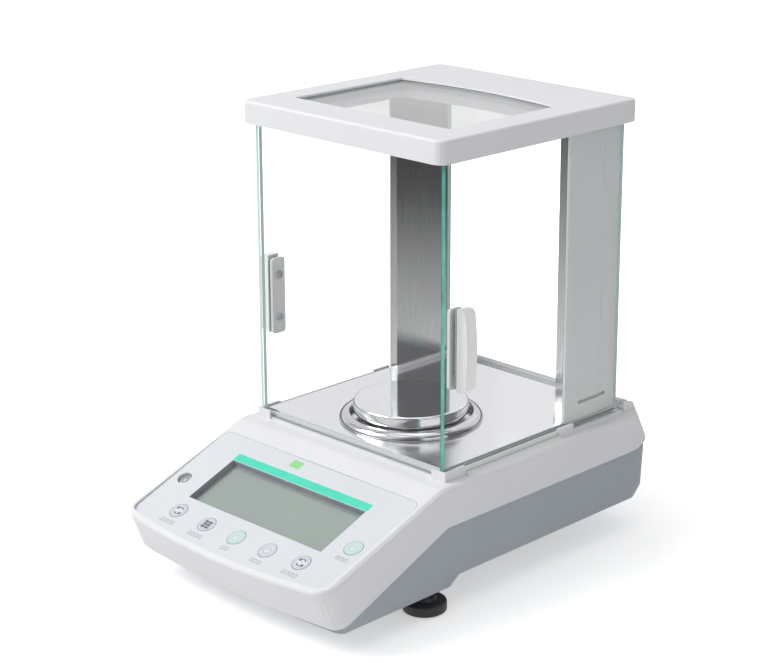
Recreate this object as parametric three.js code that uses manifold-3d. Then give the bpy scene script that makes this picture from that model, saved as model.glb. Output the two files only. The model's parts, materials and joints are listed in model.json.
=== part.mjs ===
// Analytical balance: a weighing chamber of sliding glass doors on a base that holds the
// force-compensation cell, the electronics and the sloped control panel.
// Millimetres, +Z up, +Y to the rear. The finished group stands with its feet on z = 0 and the
// middle of its footprint at the origin.
import * as THREE from "three";
import { mergeVertices } from "three/addons/utils/BufferGeometryUtils.js";
import Module from "manifold-3d";

const wasm = await Module();
wasm.setup();

// ---------------------------------------------------------------- driving dimensions

const GAP = 0.3; // running and assembly clearance between neighbouring pieces

// The dimensions below are drawn from a datum that lies behind and under the middle of the
// footprint: the group is moved back by these amounts at the end.
const DATUM = { y: 5, tableZ: 3 };

const CASE = {
  halfWidth: 107.5, // the base is 215 wide
  frontY: -176, // the panel and the rear shoulder would meet their walls here if left sharp
  rearY: 185.4,
  rearLean: 0.52, // how far the rear wall leans forward for each unit of height
  wall: 3,
  panelWall: 4.9, // thicker under the panel, because the overlay lies in a recess
  deckZ: 99, // flat strip round the plinth
  bendY: -54, // where the deck turns down into the panel
  panelDrop: 44.5, // fall of the panel from the bend to its front edge
  seamZ: 69.4, // joint line between the two case halves, along the sides
  seamBendY: -49,
  frontFootY: -158.4, // lowest front edge of the upper case
  frontFootZ: 23.3,
  frontBow: 8.4, // how far the middle of the front stands out, at the panel and at the foot
  footBow: 5.2,
  corner: 14, // radius of the corners in plan
  footCorner: 9, // the front corners tighten to this at the foot
  topEdge: 4,
};

const TRAY = {
  halfWidth: 105.5,
  wall: 2.6,
  rearZ: 27.6, // underside behind the step
  frontZ: 20.8, // underside in front of the step
  seamGap: 0.5,
};

const CHAMBER = {
  frontY: -41.5, // outer face of the front glass
  halfWidth: 96, // outer faces of the side doors
  glass: 3,
  floorZ: 106,
  plateThickness: 1.2,
  postFrontY: 92.5,
  postRearY: 154.5,
  postInnerX: 83.5,
  postOuterX: 92.5,
  rearGlassY: 150.4, // front face of the rear glass
  doorBottomZ: 103.6,
  doorTopZ: 334,
  doorRearY: 149.5,
};

const LID = {
  halfWidth: 101.5,
  frontY: -51,
  rearY: 160,
  bottomZ: 328,
  topZ: 345,
  wall: 3,
  corner: 8,
  openingHalfWidth: 78,
  openingFrontY: -18.5,
  openingRearY: 92,
  openingArch: 8.5, // rise of the arched rear edge of the opening
  skin: 1.5, // the frame's top sheet; the top door slides right under it
};
LID.paneBottomZ = LID.topZ - LID.skin - GAP - CHAMBER.glass;

const PAN = { y: 23.5, radius: 43.5, topZ: 120.4, rim: 8.3, thickness: 1 };
const RING = { outer: 54.5, crown: 47.6, inner: 46.3, height: 5.3, sheet: 0.9 };

// The block behind the chamber, and the ledge the door tracks lie on.
const REAR_BLOCK = { frontY: 156.6, frontZ: 108.1, rearZ: 105.4 };
const LEDGE = { z: 101.3, y0: -22, y1: 79.4, rampX: 103.5, postY: 96.5 };
const PLINTH_HALF_WIDTH = 98.5;

const PANEL = {
  seatDrop: 0.64, // depth of the overlay's recess at the bend
  seatTilt: 0.02, // the recess deepens towards the front at this angle
  overlayHalfWidth: 102,
  overlayTop: 17.7, // distances down the slope from the bend
  overlayCorner: 7,
  overlayThickness: 0.7,
  overlayMargin: 5, // between the overlay and the front edge of the panel
  windowHalfWidth: 70.2,
  windowTop: 41.8,
  windowBottom: 87.8,
  displayDepth: 3.8,
  keyRadius: 7,
  keyTravel: 0.4,
  vialX: -91,
  vialS: 73.4,
  vialRadius: 5.8,
};

const KEYS = [
  { name: "tare_key_left", x: -65.1, s: 102.3 },
  { name: "menu_key", x: -32.3, s: 103.9 },
  { name: "on_key", x: 0, s: 104.2 },
  { name: "calibration_key", x: 32.3, s: 103.9 },
  { name: "tare_key_right", x: 65.1, s: 102.3 },
  { name: "off_key", x: 89.5, s: 74.5 },
];

// The knob's rim hangs below the rubber pad's top, so only a thin line of pad shows under it.
const FOOT = {
  x: 90,
  y: -54.5,
  radius: 16,
  rimZ: 3.6,
  shoulderZ: 11.3,
  collarZ: 14.7,
  recessZ: 4.8,
  recessRadius: 13.3,
  padRadius: 13,
};
const REAR_FOOT_Y = 142;

// The groove and the slot in each post cover, counted from the cover's front edge and foot.
const COVER = {
  wall: 2,
  step: 0.7, // how far the part behind the groove stands back
  grooveFromRear: 21,
  grooveWidth: 1,
  grooveDepth: 0.7,
  slotStart: 15.8,
  slotEnd: 48.5,
  slotLift: 12,
  slotHeight: 3,
};

const HANDLE = {
  y0: -33, // front edge of the inner plate
  width: 12.5,
  bottomZ: 163.5,
  height: 59,
  screwSpacing: 33.5,
};

// The panel's slope, and places on the overlay's seat: x to the right, s down the slope, up from
// the seat.
const slope = Math.atan2(CASE.panelDrop, CASE.bendY - CASE.frontY);
const seatSlope = slope + PANEL.seatTilt;
const seatOrigin = new THREE.Vector3(
  0,
  CASE.bendY + PANEL.seatDrop * Math.sin(slope),
  CASE.deckZ - PANEL.seatDrop * Math.cos(slope),
);
const panelFrame = new THREE.Matrix4()
  .makeRotationX(seatSlope)
  .setPosition(seatOrigin);
const panelLength = Math.hypot(CASE.panelDrop, CASE.bendY - CASE.frontY);

// ---------------------------------------------------------------- solids and booleans

// Only positions, shared vertices merged, no collapsed triangles, faces pointing out.
function tidy(geometry) {
  const bare = new THREE.BufferGeometry();
  bare.setAttribute("position", geometry.getAttribute("position"));
  if (geometry.index) bare.setIndex(geometry.index);
  const merged = mergeVertices(bare, 1e-4);
  const index = [];
  const all = merged.index.array;
  for (let i = 0; i < all.length; i += 3) {
    const [a, b, c] = [all[i], all[i + 1], all[i + 2]];
    if (a !== b && b !== c && c !== a) index.push(a, b, c);
  }
  if (signedVolume(merged.getAttribute("position"), index) < 0) {
    for (let i = 0; i < index.length; i += 3) {
      [index[i + 1], index[i + 2]] = [index[i + 2], index[i + 1]];
    }
  }
  merged.setIndex(index);
  return merged;
}

function signedVolume(position, index) {
  const [a, b, c] = [new THREE.Vector3(), new THREE.Vector3(), new THREE.Vector3()];
  let sum = 0;
  for (let i = 0; i < index.length; i += 3) {
    a.fromBufferAttribute(position, index[i]);
    b.fromBufferAttribute(position, index[i + 1]);
    c.fromBufferAttribute(position, index[i + 2]);
    sum += a.dot(b.cross(c));
  }
  return sum / 6;
}

function toManifold(geometry) {
  const clean = tidy(geometry);
  return new wasm.Manifold(
    new wasm.Mesh({
      numProp: 3,
      vertProperties: new Float32Array(clean.getAttribute("position").array),
      triVerts: new Uint32Array(clean.index.array),
    }),
  );
}

function toGeometry(solid) {
  const mesh = solid.getMesh();
  const geometry = new THREE.BufferGeometry();
  geometry.setAttribute("position", new THREE.BufferAttribute(mesh.vertProperties, 3));
  geometry.setIndex(new THREE.BufferAttribute(mesh.triVerts, 1));
  return geometry;
}

function cut(geometry, ...tools) {
  return toGeometry(tools.reduce((body, tool) => body.subtract(toManifold(tool)), toManifold(geometry)));
}

function join(...geometries) {
  const [first, ...rest] = geometries.map(toManifold);
  return toGeometry(rest.reduce((body, other) => body.add(other), first));
}

// ---------------------------------------------------------------- basic shapes

// A box given by its lowest and highest corners.
function block(x0, x1, y0, y1, z0, z1) {
  const geometry = new THREE.BoxGeometry(x1 - x0, y1 - y0, z1 - z0);
  return geometry.translate((x0 + x1) / 2, (y0 + y1) / 2, (z0 + z1) / 2);
}

function rod(radius, z0, z1, x = 0, y = 0, segments = 20) {
  const geometry = new THREE.CylinderGeometry(radius, radius, z1 - z0, segments);
  return geometry.rotateX(Math.PI / 2).translate(x, y, (z0 + z1) / 2);
}

// A rod along X, for the handle screws.
function crossRod(radius, x0, x1, y, z, segments = 16) {
  const geometry = new THREE.CylinderGeometry(radius, radius, x1 - x0, segments);
  return geometry.rotateZ(Math.PI / 2).translate((x0 + x1) / 2, y, z);
}

// A profile of [radius, height] points turned about the Z axis.
function turned(profile, segments = 40) {
  const points = profile.map(([radius, height]) => new THREE.Vector2(radius, height));
  return new THREE.LatheGeometry(points, segments).rotateX(Math.PI / 2);
}

function outline(points) {
  return new THREE.Shape(points.map(([x, y]) => new THREE.Vector2(x, y)));
}

// A closed outline in plan, raised from z0 to z1.
function slab(points, z0, z1) {
  const geometry = new THREE.ExtrudeGeometry(outline(points), { depth: z1 - z0, bevelEnabled: false });
  return geometry.translate(0, 0, z0);
}

// A closed outline in the YZ plane, drawn out along X.
function alongX(points, x0, x1) {
  const geometry = new THREE.ExtrudeGeometry(outline(points), { depth: x1 - x0, bevelEnabled: false });
  const turn = new THREE.Matrix4().makeBasis(
    new THREE.Vector3(0, 1, 0),
    new THREE.Vector3(0, 0, 1),
    new THREE.Vector3(1, 0, 0),
  );
  return geometry.applyMatrix4(turn).translate(x0, 0, 0);
}

// A closed outline in the XZ plane, drawn out along Y.
function alongY(points, y0, y1) {
  const flipped = points.map(([x, z]) => [x, -z]);
  const geometry = new THREE.ExtrudeGeometry(outline(flipped), { depth: y1 - y0, bevelEnabled: false });
  return geometry.rotateX(-Math.PI / 2).rotateZ(Math.PI).scale(-1, -1, 1).translate(0, y0, 0);
}

// Rounds chosen corners of a polygon. radii[i] belongs to points[i]; 0 keeps it sharp.
function rounded(points, radii, segments = 4) {
  const out = [];
  points.forEach((point, i) => {
    const radius = typeof radii === "number" ? radii : radii[i];
    if (!radius) {
      out.push(point);
      return;
    }
    const before = points[(i + points.length - 1) % points.length];
    const after = points[(i + 1) % points.length];
    const toBefore = new THREE.Vector2(before[0] - point[0], before[1] - point[1]).normalize();
    const toAfter = new THREE.Vector2(after[0] - point[0], after[1] - point[1]).normalize();
    const half = Math.acos(THREE.MathUtils.clamp(toBefore.dot(toAfter), -1, 1)) / 2;
    const reach = radius / Math.tan(half);
    const middle = toBefore.clone().add(toAfter).normalize().multiplyScalar(radius / Math.sin(half));
    const start = toBefore.clone().multiplyScalar(reach).sub(middle);
    const end = toAfter.clone().multiplyScalar(reach).sub(middle);
    const sweep = Math.atan2(start.cross(end), start.dot(end));
    for (let k = 0; k <= segments; k += 1) {
      const arm = start.clone().rotateAround(new THREE.Vector2(0, 0), (sweep * k) / segments);
      out.push([point[0] + middle.x + arm.x, point[1] + middle.y + arm.y]);
    }
  });
  return out;
}

function rectangle(x0, x1, y0, y1) {
  return [
    [x0, y0],
    [x1, y0],
    [x1, y1],
    [x0, y1],
  ];
}

// Moves each edge of a counter-clockwise polygon inwards and meets the edges again. Each edge
// has its own [start, end] distances.
function insetPolygon(points, distances) {
  const lines = points.map((point, i) => {
    const next = points[(i + 1) % points.length];
    const normal = inwardNormal(point, next);
    const from = new THREE.Vector2(...point).addScaledVector(normal, distances[i][0]);
    const to = new THREE.Vector2(...next).addScaledVector(normal, distances[i][1]);
    return { from, along: to.sub(from) };
  });
  return lines.map(({ from, along }, i) => {
    const before = lines[(i + lines.length - 1) % lines.length];
    const share = before.from.clone().sub(from).cross(before.along) / along.cross(before.along);
    return from.clone().addScaledVector(along, share).toArray();
  });
}

function inwardNormal(a, b) {
  return new THREE.Vector2(a[1] - b[1], b[0] - a[0]).normalize();
}

// How far a surface has drawn in at |x| where its edge to the side wall has this radius.
function edgeRecess(radius, halfWidth, x) {
  const into = Math.abs(x) - (halfWidth - radius);
  return into <= 0 ? 0 : radius - Math.sqrt(Math.max(0, radius * radius - into * into));
}

// Stations across the case, close together where the front corners curve.
function stations(halfWidth, corner) {
  const side = [];
  const arcSteps = 5;
  for (let k = 0; k <= arcSteps; k += 1) {
    side.push(halfWidth - corner + corner * Math.sin((k / arcSteps) * (Math.PI / 2)));
  }
  const inner = [0, 0.34, 0.67].map((share) => share * (halfWidth - corner));
  const right = [...inner, ...side];
  return [...right.slice(1).map((x) => -x).reverse(), ...right];
}

// A closed case form: a side profile swept from wall to wall, whose edges draw in by
// edges[i] = { inset, round, bow } where i is the edge from points[i] to points[i + 1]. A round
// or bow may be a pair, for its two ends.
function sweptCase(points, edges, radii, halfWidth, corner) {
  const places = stations(halfWidth, corner);
  const rings = places.map((x) => {
    const distances = edges.map(({ inset = 0, round = 0, bow = 0 }) =>
      [0, 1].map((end) => {
        const radius = Array.isArray(round) ? round[end] : round;
        const rise = Array.isArray(bow) ? bow[end] : bow;
        return inset + edgeRecess(radius, halfWidth, x) + rise * (x / halfWidth) ** 2;
      }),
    );
    return rounded(insetPolygon(points, distances), radii);
  });
  const middle = rings[(rings.length - 1) / 2];
  const shape = outline(middle);
  const geometry = new THREE.ExtrudeGeometry(shape, {
    depth: 1,
    steps: places.length - 1,
    bevelEnabled: false,
  });
  const position = geometry.getAttribute("position");
  for (let i = 0; i < position.count; i += 1) {
    const station = Math.round(position.getZ(i) * (places.length - 1));
    const place = nearest(middle, position.getX(i), position.getY(i));
    const [y, z] = rings[station][place];
    position.setXYZ(i, places[station], y, z);
  }
  return geometry;
}

function nearest(points, x, y) {
  let best = 0;
  let least = Infinity;
  points.forEach(([px, py], i) => {
    const distance = (px - x) ** 2 + (py - y) ** 2;
    if (distance < least) {
      least = distance;
      best = i;
    }
  });
  return best;
}

function onPanel(geometry) {
  return geometry.applyMatrix4(panelFrame);
}

// ---------------------------------------------------------------- materials

function finish(color, roughness, metalness = 0) {
  return new THREE.MeshStandardMaterial({ color, roughness, metalness });
}

const LIGHT_PLASTIC = () => finish(0xdfe0e2, 0.45);
const GREY_PLASTIC = () => finish(0x8b9198, 0.5);
const TRIM_PLASTIC = () => finish(0xb4b8bb, 0.45);
const STEEL = () => finish(0xc4c6c8, 0.25, 1);
const CHROME = () => finish(0xe6e7e8, 0.08, 1);
const ALUMINIUM = () => finish(0xb9bcc0, 0.4, 1);
const BLACK_RUBBER = () => finish(0x232428, 0.7);
const BOARD = () => finish(0x1e5a3a, 0.6);
const COPPER = () => finish(0xb4703c, 0.35, 1);

function glass() {
  const material = finish(0xdff2ec, 0.03);
  material.transparent = true;
  material.opacity = 0.25;
  return material;
}

const balance = new THREE.Group();

function piece(name, geometry, material, parent = balance) {
  const mesh = new THREE.Mesh(tidy(geometry), material);
  mesh.name = name;
  parent.add(mesh);
  return mesh;
}

// The same piece on both sides: shape(side) draws it for side = 1 (right) or -1 (left).
function pair(stem, shape, material) {
  for (const [word, side] of [["right", 1], ["left", -1]]) {
    piece(word + "_" + stem, shape(side), material());
  }
}

// Draws a right-hand shape, or mirrors it for the left.
function mirrored(geometry, side) {
  if (side > 0) return geometry;
  return tidy(geometry).scale(-1, 1, 1);
}

// ---------------------------------------------------------------- upper case

const frontTopZ = CASE.deckZ - CASE.panelDrop;
const shoulderZ = CASE.seamZ + 2.5;
const rearAt = (z) => CASE.rearY - CASE.rearLean * (z - shoulderZ);
const upperProfile = [
  [CASE.frontFootY, CASE.frontFootZ],
  [CASE.seamBendY, CASE.seamZ],
  [CASE.rearY - 3.5, CASE.seamZ],
  [CASE.rearY, shoulderZ],
  [rearAt(CASE.deckZ), CASE.deckZ],
  [CASE.bendY, CASE.deckZ],
  [CASE.frontY, frontTopZ],
];

function upperCaseForm(wall, panelWall, seamReach) {
  const { topEdge, corner, footCorner, frontBow, footBow, halfWidth } = CASE;
  const seam = { inset: -seamReach };
  const top = { inset: wall, round: Math.max(topEdge - wall, 0.8) };
  const rear = { inset: wall, round: corner - wall };
  const sheet = { inset: panelWall, round: top.round };
  const front = { inset: wall, round: [corner - wall, footCorner - wall], bow: [frontBow, footBow] };
  const edges = [seam, seam, rear, rear, top, sheet, front];
  const radii = wall ? [0, 12, 0, 0, 0, 18, 0] : [0.8, 12, 0, 3, 3, 18, 3];
  return sweptCase(upperProfile, edges, radii, halfWidth - wall, corner - wall);
}

// The block behind the posts: it carries on the rear wall's lean.
function rearBlock() {
  const { frontY, frontZ, rearZ } = REAR_BLOCK;
  const low = CASE.deckZ - 2;
  const profile = [
    [frontY, low],
    [rearAt(low), low],
    [rearAt(rearZ), rearZ],
    [frontY, frontZ],
  ];
  return alongX(rounded(profile, [0, 0, 1.5, 0.8]), -PLINTH_HALF_WIDTH, PLINTH_HALF_WIDTH);
}

// A low ramp from the ledge under each door track down to the deck.
function ledgeRamp(side) {
  const { z, y0, y1, rampX } = LEDGE;
  const low = CASE.deckZ - 1;
  const top = PLINTH_HALF_WIDTH;
  const section = [[top - 4, low], [rampX, low], [rampX, CASE.deckZ], [top, z], [top - 4, z]];
  return mirrored(alongY(section, y0, y1), side);
}

function plinth() {
  const { frontY, halfWidth, floorZ, glass, postRearY } = CHAMBER;
  const outer = PLINTH_HALF_WIDTH;
  const solids = [
    block(-outer, outer, frontY - 1.5, postRearY + 1, CASE.deckZ - 2, floorZ),
    rearBlock(),
    ledgeRamp(1),
    ledgeRamp(-1),
  ];
  const cuts = [
    // seat of the floor plate and posts
    block(-halfWidth + glass + GAP, halfWidth - glass - GAP, frontY - GAP, postRearY + GAP,
      floorZ - CHAMBER.plateThickness - GAP, floorZ + 1),
    // front notch and the front glass's groove
    block(-outer + 13.5, outer - 13.5, frontY - 2, frontY, CASE.deckZ + GAP, floorZ + 1),
    block(-halfWidth + glass + GAP, halfWidth - glass - GAP, frontY - GAP, frontY + glass + GAP,
      CASE.deckZ + 2, floorZ + 1),
  ];
  for (const side of [1, -1]) {
    const span = (a, b) => [Math.min(side * a, side * b), Math.max(side * a, side * b)];
    const inner = halfWidth - glass - 2 * GAP;
    const slot = span(inner, halfWidth + GAP);
    cuts.push(block(...slot, frontY - GAP, postRearY + 60, CHAMBER.doorBottomZ - 2 * GAP, floorZ + 9));
    const ledge = span(inner, outer + 1);
    cuts.push(block(...ledge, LEDGE.y0, LEDGE.y1, LEDGE.z, floorZ + 9));
    cuts.push(block(...ledge, LEDGE.postY, postRearY + 1.5, LEDGE.z, floorZ + 9));
  }
  return { solids, cuts };
}

// The overlay's outline on its seat, or the recess round it. Its front edge keeps the same
// margin to the bowed front of the case.
function overlayPlan(grow) {
  const { overlayHalfWidth, overlayTop, overlayCorner, overlayMargin } = PANEL;
  const x = overlayHalfWidth + grow;
  const points = [[x, -overlayTop + grow], [-x, -overlayTop + grow]];
  const steps = 10;
  for (let k = 0; k <= steps; k += 1) {
    const across = (2 * k) / steps - 1;
    const bow = CASE.frontBow * (across * overlayHalfWidth / CASE.halfWidth) ** 2 / Math.cos(slope);
    points.push([across * x, -(panelLength - overlayMargin - bow) - grow]);
  }
  const isCorner = (i) => i <= 2 || i === points.length - 1;
  return rounded(points, points.map((_, i) => (isCorner(i) ? overlayCorner + grow : 0)));
}

function panelCutters() {
  const through = 30;
  const { windowHalfWidth, windowTop, windowBottom, vialX, vialS, vialRadius } = PANEL;
  const cutters = [
    block(-windowHalfWidth, windowHalfWidth, -windowBottom, -windowTop, -12, 12),
    rod(vialRadius + GAP, -through / 2, through / 2, vialX, -vialS),
    ...KEYS.map(({ x, s }) => rod(3.4, -through / 2, through / 2, x, -s, 16)),
  ];
  return cutters.map(onPanel);
}

const POWER_JACK = { x: -62, z: 84, radius: 5.6 };
const SERIAL_PORT = { x: 36, z: 84, halfWidth: 16.5, halfHeight: 6 };
const connectorFace = rearAt(POWER_JACK.z) - 2;
const CASE_SCREWS = [
  [-70, -128],
  [70, -128],
  [-84, 132],
  [84, 132],
];

// The rear wall leans; connectors look straight back out of pockets cut in it.
function connectorCutters() {
  const { x, z, radius } = POWER_JACK;
  const hole = radius + GAP;
  const jack = new THREE.CylinderGeometry(hole, hole, 60, 24).translate(x, connectorFace, z);
  const port = SERIAL_PORT;
  return [
    jack,
    block(port.x - port.halfWidth - GAP, port.x + port.halfWidth + GAP, connectorFace - 30,
      connectorFace + 30, port.z - port.halfHeight - GAP, port.z + port.halfHeight + GAP),
  ];
}

function upperCase() {
  const { solids, cuts } = plinth();
  const outer = join(upperCaseForm(0, 0, 0), ...solids);
  const hollow = upperCaseForm(CASE.wall, CASE.panelWall, 12);
  const roof = block(-CHAMBER.halfWidth + 8, CHAMBER.halfWidth - 8, CHAMBER.frontY + 8,
    CHAMBER.postRearY - 4, CASE.deckZ - 8, CHAMBER.floorZ - 4.4);
  const recess = onPanel(slab(overlayPlan(GAP), 0, 10));
  return cut(outer, hollow, roof, ...cuts, recess, ...panelCutters(), ...connectorCutters(),
    rod(15, 80, 120, 0, PAN.y, 32));
}

piece("upper_case", upperCase(), LIGHT_PLASTIC());

// ---------------------------------------------------------------- lower case

function seamHeight(y) {
  const rise = (CASE.seamZ - CASE.frontFootZ) / (CASE.seamBendY - CASE.frontFootY);
  return CASE.seamZ - (CASE.seamBendY - y) * rise;
}

// The tray's top edge follows the seam, and its underside steps up behind the front feet.
const trayFrontY = CASE.frontFootY + 4.5;
const lowerProfile = [
  [trayFrontY, TRAY.frontZ],
  [-44, TRAY.frontZ],
  [-34, TRAY.rearZ],
  [CASE.rearY - 13, TRAY.rearZ],
  [CASE.rearY - 6.4, TRAY.rearZ + 6.4],
  [CASE.rearY - 3.5, CASE.seamZ],
  [CASE.seamBendY, CASE.seamZ],
  [trayFrontY - 0.5, seamHeight(trayFrontY - 0.5)],
];

function trayForm(wall, openTop) {
  const floor = { inset: wall, round: 3 };
  const corner = CASE.corner - 2 - wall;
  const rear = { inset: wall, round: corner };
  const top = { inset: openTop ? -12 : TRAY.seamGap };
  const front = { inset: wall, round: CASE.footCorner - wall, bow: CASE.footBow };
  const edges = [floor, floor, floor, rear, rear, top, top, front];
  const radii = wall ? 0 : [0, 3, 3, 4, 4, 0, 12, 0];
  return sweptCase(lowerProfile, edges, radii, TRAY.halfWidth - wall, corner);
}

function lowerCase() {
  const shell = cut(trayForm(0, false), trayForm(TRAY.wall, true));
  const bosses = [];
  const holes = [];
  for (const side of [1, -1]) {
    bosses.push(rod(8, TRAY.frontZ + 1, 48, side * FOOT.x, FOOT.y));
    holes.push(rod(4 + GAP, 0, 60, side * FOOT.x, FOOT.y));
  }
  for (const [x, y] of CASE_SCREWS) {
    const floorZ = y < 0 ? TRAY.frontZ : TRAY.rearZ;
    bosses.push(rod(5, floorZ + 1, floorZ + 10, x, y, 16));
    holes.push(rod(3.6, floorZ - 3, floorZ + 4, x, y, 16), rod(2, floorZ - 3, floorZ + 20, x, y, 12));
  }
  bosses.push(rod(7, TRAY.rearZ + 1, TRAY.rearZ + 7, 0, REAR_FOOT_Y));
  holes.push(rod(3 + GAP, 0, 60, 0, REAR_FOOT_Y, 16));
  return cut(join(shell, ...bosses), ...holes);
}

piece("lower_case", lowerCase(), GREY_PLASTIC());

// ---------------------------------------------------------------- feet

function footKnob(side) {
  const { radius, rimZ, shoulderZ, collarZ, recessZ, recessRadius } = FOOT;
  const bore = 4 + GAP;
  const profile = [
    [bore, recessZ],
    [recessRadius, recessZ],
    [recessRadius, rimZ],
    [radius - 1.2, rimZ],
    [radius, rimZ + 1.2],
    [radius, shoulderZ - 1.5],
    [radius - 1.5, shoulderZ],
    [8.5, shoulderZ + 0.6],
    [7.5, collarZ],
    [bore, collarZ],
    [bore, recessZ],
  ];
  return turned(profile, 32).translate(side * FOOT.x, FOOT.y, 0);
}

function footStud(side) {
  const profile = [
    [0, FOOT.recessZ],
    [3.6, FOOT.recessZ],
    [4, FOOT.recessZ + 0.5],
    [4, 50],
    [3.2, 51],
    [0, 51],
  ];
  return turned(profile, 20).translate(side * FOOT.x, FOOT.y, 0);
}

function footPad(side) {
  const { padRadius, recessZ } = FOOT;
  const profile = [
    [0, DATUM.tableZ],
    [padRadius - 0.5, DATUM.tableZ],
    [padRadius, DATUM.tableZ + 0.5],
    [padRadius, recessZ - GAP],
    [0, recessZ - GAP],
  ];
  return turned(profile, 32).translate(side * FOOT.x, FOOT.y, 0);
}

pair("foot_knob", footKnob, BLACK_RUBBER);
pair("foot_stud", footStud, STEEL);
pair("foot_pad", footPad, BLACK_RUBBER);

function rearFoot() {
  const top = TRAY.rearZ - GAP;
  const profile = [
    [0, DATUM.tableZ],
    [11, DATUM.tableZ],
    [12, DATUM.tableZ + 1.2],
    [12, 9],
    [9, top - 3],
    [9, top],
    [3, top],
    [3, top + 7],
    [0, top + 7],
  ];
  return turned(profile, 24).translate(0, REAR_FOOT_Y, 0);
}

piece("rear_foot", rearFoot(), BLACK_RUBBER());

// ---------------------------------------------------------------- chamber floor and tracks

function floorPlate() {
  const inner = CHAMBER.halfWidth - CHAMBER.glass - 2 * GAP - 0.2;
  const neck = CHAMBER.postInnerX - GAP;
  const front = CHAMBER.frontY + CHAMBER.glass + 2 * GAP;
  const shoulder = CHAMBER.postFrontY - GAP;
  const rear = CHAMBER.rearGlassY - GAP;
  const plan = [
    [-inner, front],
    [inner, front],
    [inner, shoulder],
    [neck, shoulder],
    [neck, rear],
    [-neck, rear],
    [-neck, shoulder],
    [-inner, shoulder],
  ];
  const z = CHAMBER.floorZ;
  return cut(slab(plan, z - CHAMBER.plateThickness, z), rod(13, 90, 120, 0, PAN.y, 32));
}

piece("floor_plate", floorPlate(), STEEL());

// Door track: a floor the glass runs on and a lip outside it.
function doorTrack(side) {
  const inner = CHAMBER.halfWidth - CHAMBER.glass - GAP;
  const lip = CHAMBER.halfWidth + 0.4;
  const outer = PLINTH_HALF_WIDTH - 0.5;
  const z = LEDGE.z + GAP;
  const run = CHAMBER.doorBottomZ - GAP;
  const section = [
    [inner, z],
    [outer, z],
    [outer, z + 2.6],
    [outer - 0.4, z + 3],
    [lip, z + 3],
    [lip, run],
    [inner, run],
  ];
  return mirrored(alongY(section, LEDGE.y0 + GAP, LEDGE.y1 - GAP), side);
}

pair("door_track", doorTrack, TRIM_PLASTIC);

// ---------------------------------------------------------------- draft shield glass

const paneTop = CHAMBER.doorTopZ;

piece(
  "front_glass",
  block(-CHAMBER.halfWidth + CHAMBER.glass + 2 * GAP, CHAMBER.halfWidth - CHAMBER.glass - 2 * GAP,
    CHAMBER.frontY, CHAMBER.frontY + CHAMBER.glass, CASE.deckZ + 2 + GAP, paneTop),
  glass(),
);

piece(
  "rear_glass",
  block(-CHAMBER.postInnerX + GAP, CHAMBER.postInnerX - GAP, CHAMBER.rearGlassY,
    CHAMBER.rearGlassY + CHAMBER.glass, CHAMBER.floorZ - CHAMBER.plateThickness, paneTop),
  glass(),
);

const handleY = HANDLE.y0 + HANDLE.width / 2;
const handleZ = HANDLE.bottomZ + HANDLE.height / 2;
const screwHeights = [handleZ - HANDLE.screwSpacing / 2, handleZ + HANDLE.screwSpacing / 2];

function doorGlass(side) {
  const outer = CHAMBER.halfWidth;
  const pane = block(outer - CHAMBER.glass, outer, CHAMBER.frontY, CHAMBER.doorRearY,
    CHAMBER.doorBottomZ, paneTop);
  const holes = screwHeights.map((z) => crossRod(2.2, outer - 9, outer + 9, handleY, z));
  return mirrored(cut(pane, ...holes), side);
}

pair("door_glass", doorGlass, glass);

// ---------------------------------------------------------------- door handles

function handlePlate(side) {
  const outer = CHAMBER.halfWidth - CHAMBER.glass - GAP;
  const plan = rounded(rectangle(HANDLE.y0, HANDLE.y0 + HANDLE.width, HANDLE.bottomZ,
    HANDLE.bottomZ + HANDLE.height), 2.5);
  const plate = alongX(plan, outer - 2.5, outer);
  const holes = screwHeights.map((z) => crossRod(2, outer - 9, outer + 9, handleY, z));
  return mirrored(cut(plate, ...holes), side);
}

function handleGasket(side) {
  const inner = CHAMBER.halfWidth + GAP;
  const plan = rounded(rectangle(HANDLE.y0 + 1.5, HANDLE.y0 + HANDLE.width - 1, HANDLE.bottomZ + 1,
    HANDLE.bottomZ + HANDLE.height - 1), 2);
  const pad = alongX(plan, inner, inner + 0.8);
  const holes = screwHeights.map((z) => crossRod(2, inner - 9, inner + 9, handleY, z));
  return mirrored(cut(pad, ...holes), side);
}

// The grip stands 10 mm off the glass in the middle and thins towards both ends.
function handleGrip(side) {
  const inner = CHAMBER.halfWidth + 2 * GAP + 0.8;
  const [low, high] = [HANDLE.bottomZ - 0.5, HANDLE.bottomZ + HANDLE.height + 1];
  const section = [[inner, low], [inner + 5.5, low]];
  const bowSteps = 8;
  for (let k = 0; k <= bowSteps; k += 1) {
    const share = k / bowSteps;
    const bulge = 8 + 2 * Math.sin(Math.PI * share);
    section.push([inner + bulge, low + 2.5 + share * (high - low - 5)]);
  }
  section.push([inner + 5.5, high], [inner, high]);
  const grip = alongY(section, HANDLE.y0 + 2, HANDLE.y0 + HANDLE.width);
  const holes = screwHeights.map((z) => crossRod(1.9, inner - 1, inner + 6.5, handleY, z, 12));
  return mirrored(cut(grip, ...holes), side);
}

function handleScrew(z) {
  return (side) => {
    const head = CHAMBER.halfWidth - CHAMBER.glass - 2 * GAP - 2.5;
    const screw = join(crossRod(2.9, head - 1.5, head, handleY, z),
      crossRod(1.5, head - 0.5, head + 13, handleY, z, 12));
    const slot = block(head - 2, head - 0.8, handleY - 2.2, handleY + 2.2, z - 0.35, z + 0.35);
    return mirrored(cut(screw, slot), side);
  };
}

pair("handle_plate", handlePlate, LIGHT_PLASTIC);
pair("handle_gasket", handleGasket, BLACK_RUBBER);
pair("handle_grip", handleGrip, LIGHT_PLASTIC);
pair("handle_screw_lower", handleScrew(screwHeights[0]), STEEL);
pair("handle_screw_upper", handleScrew(screwHeights[1]), STEEL);

// ---------------------------------------------------------------- rear posts

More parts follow.
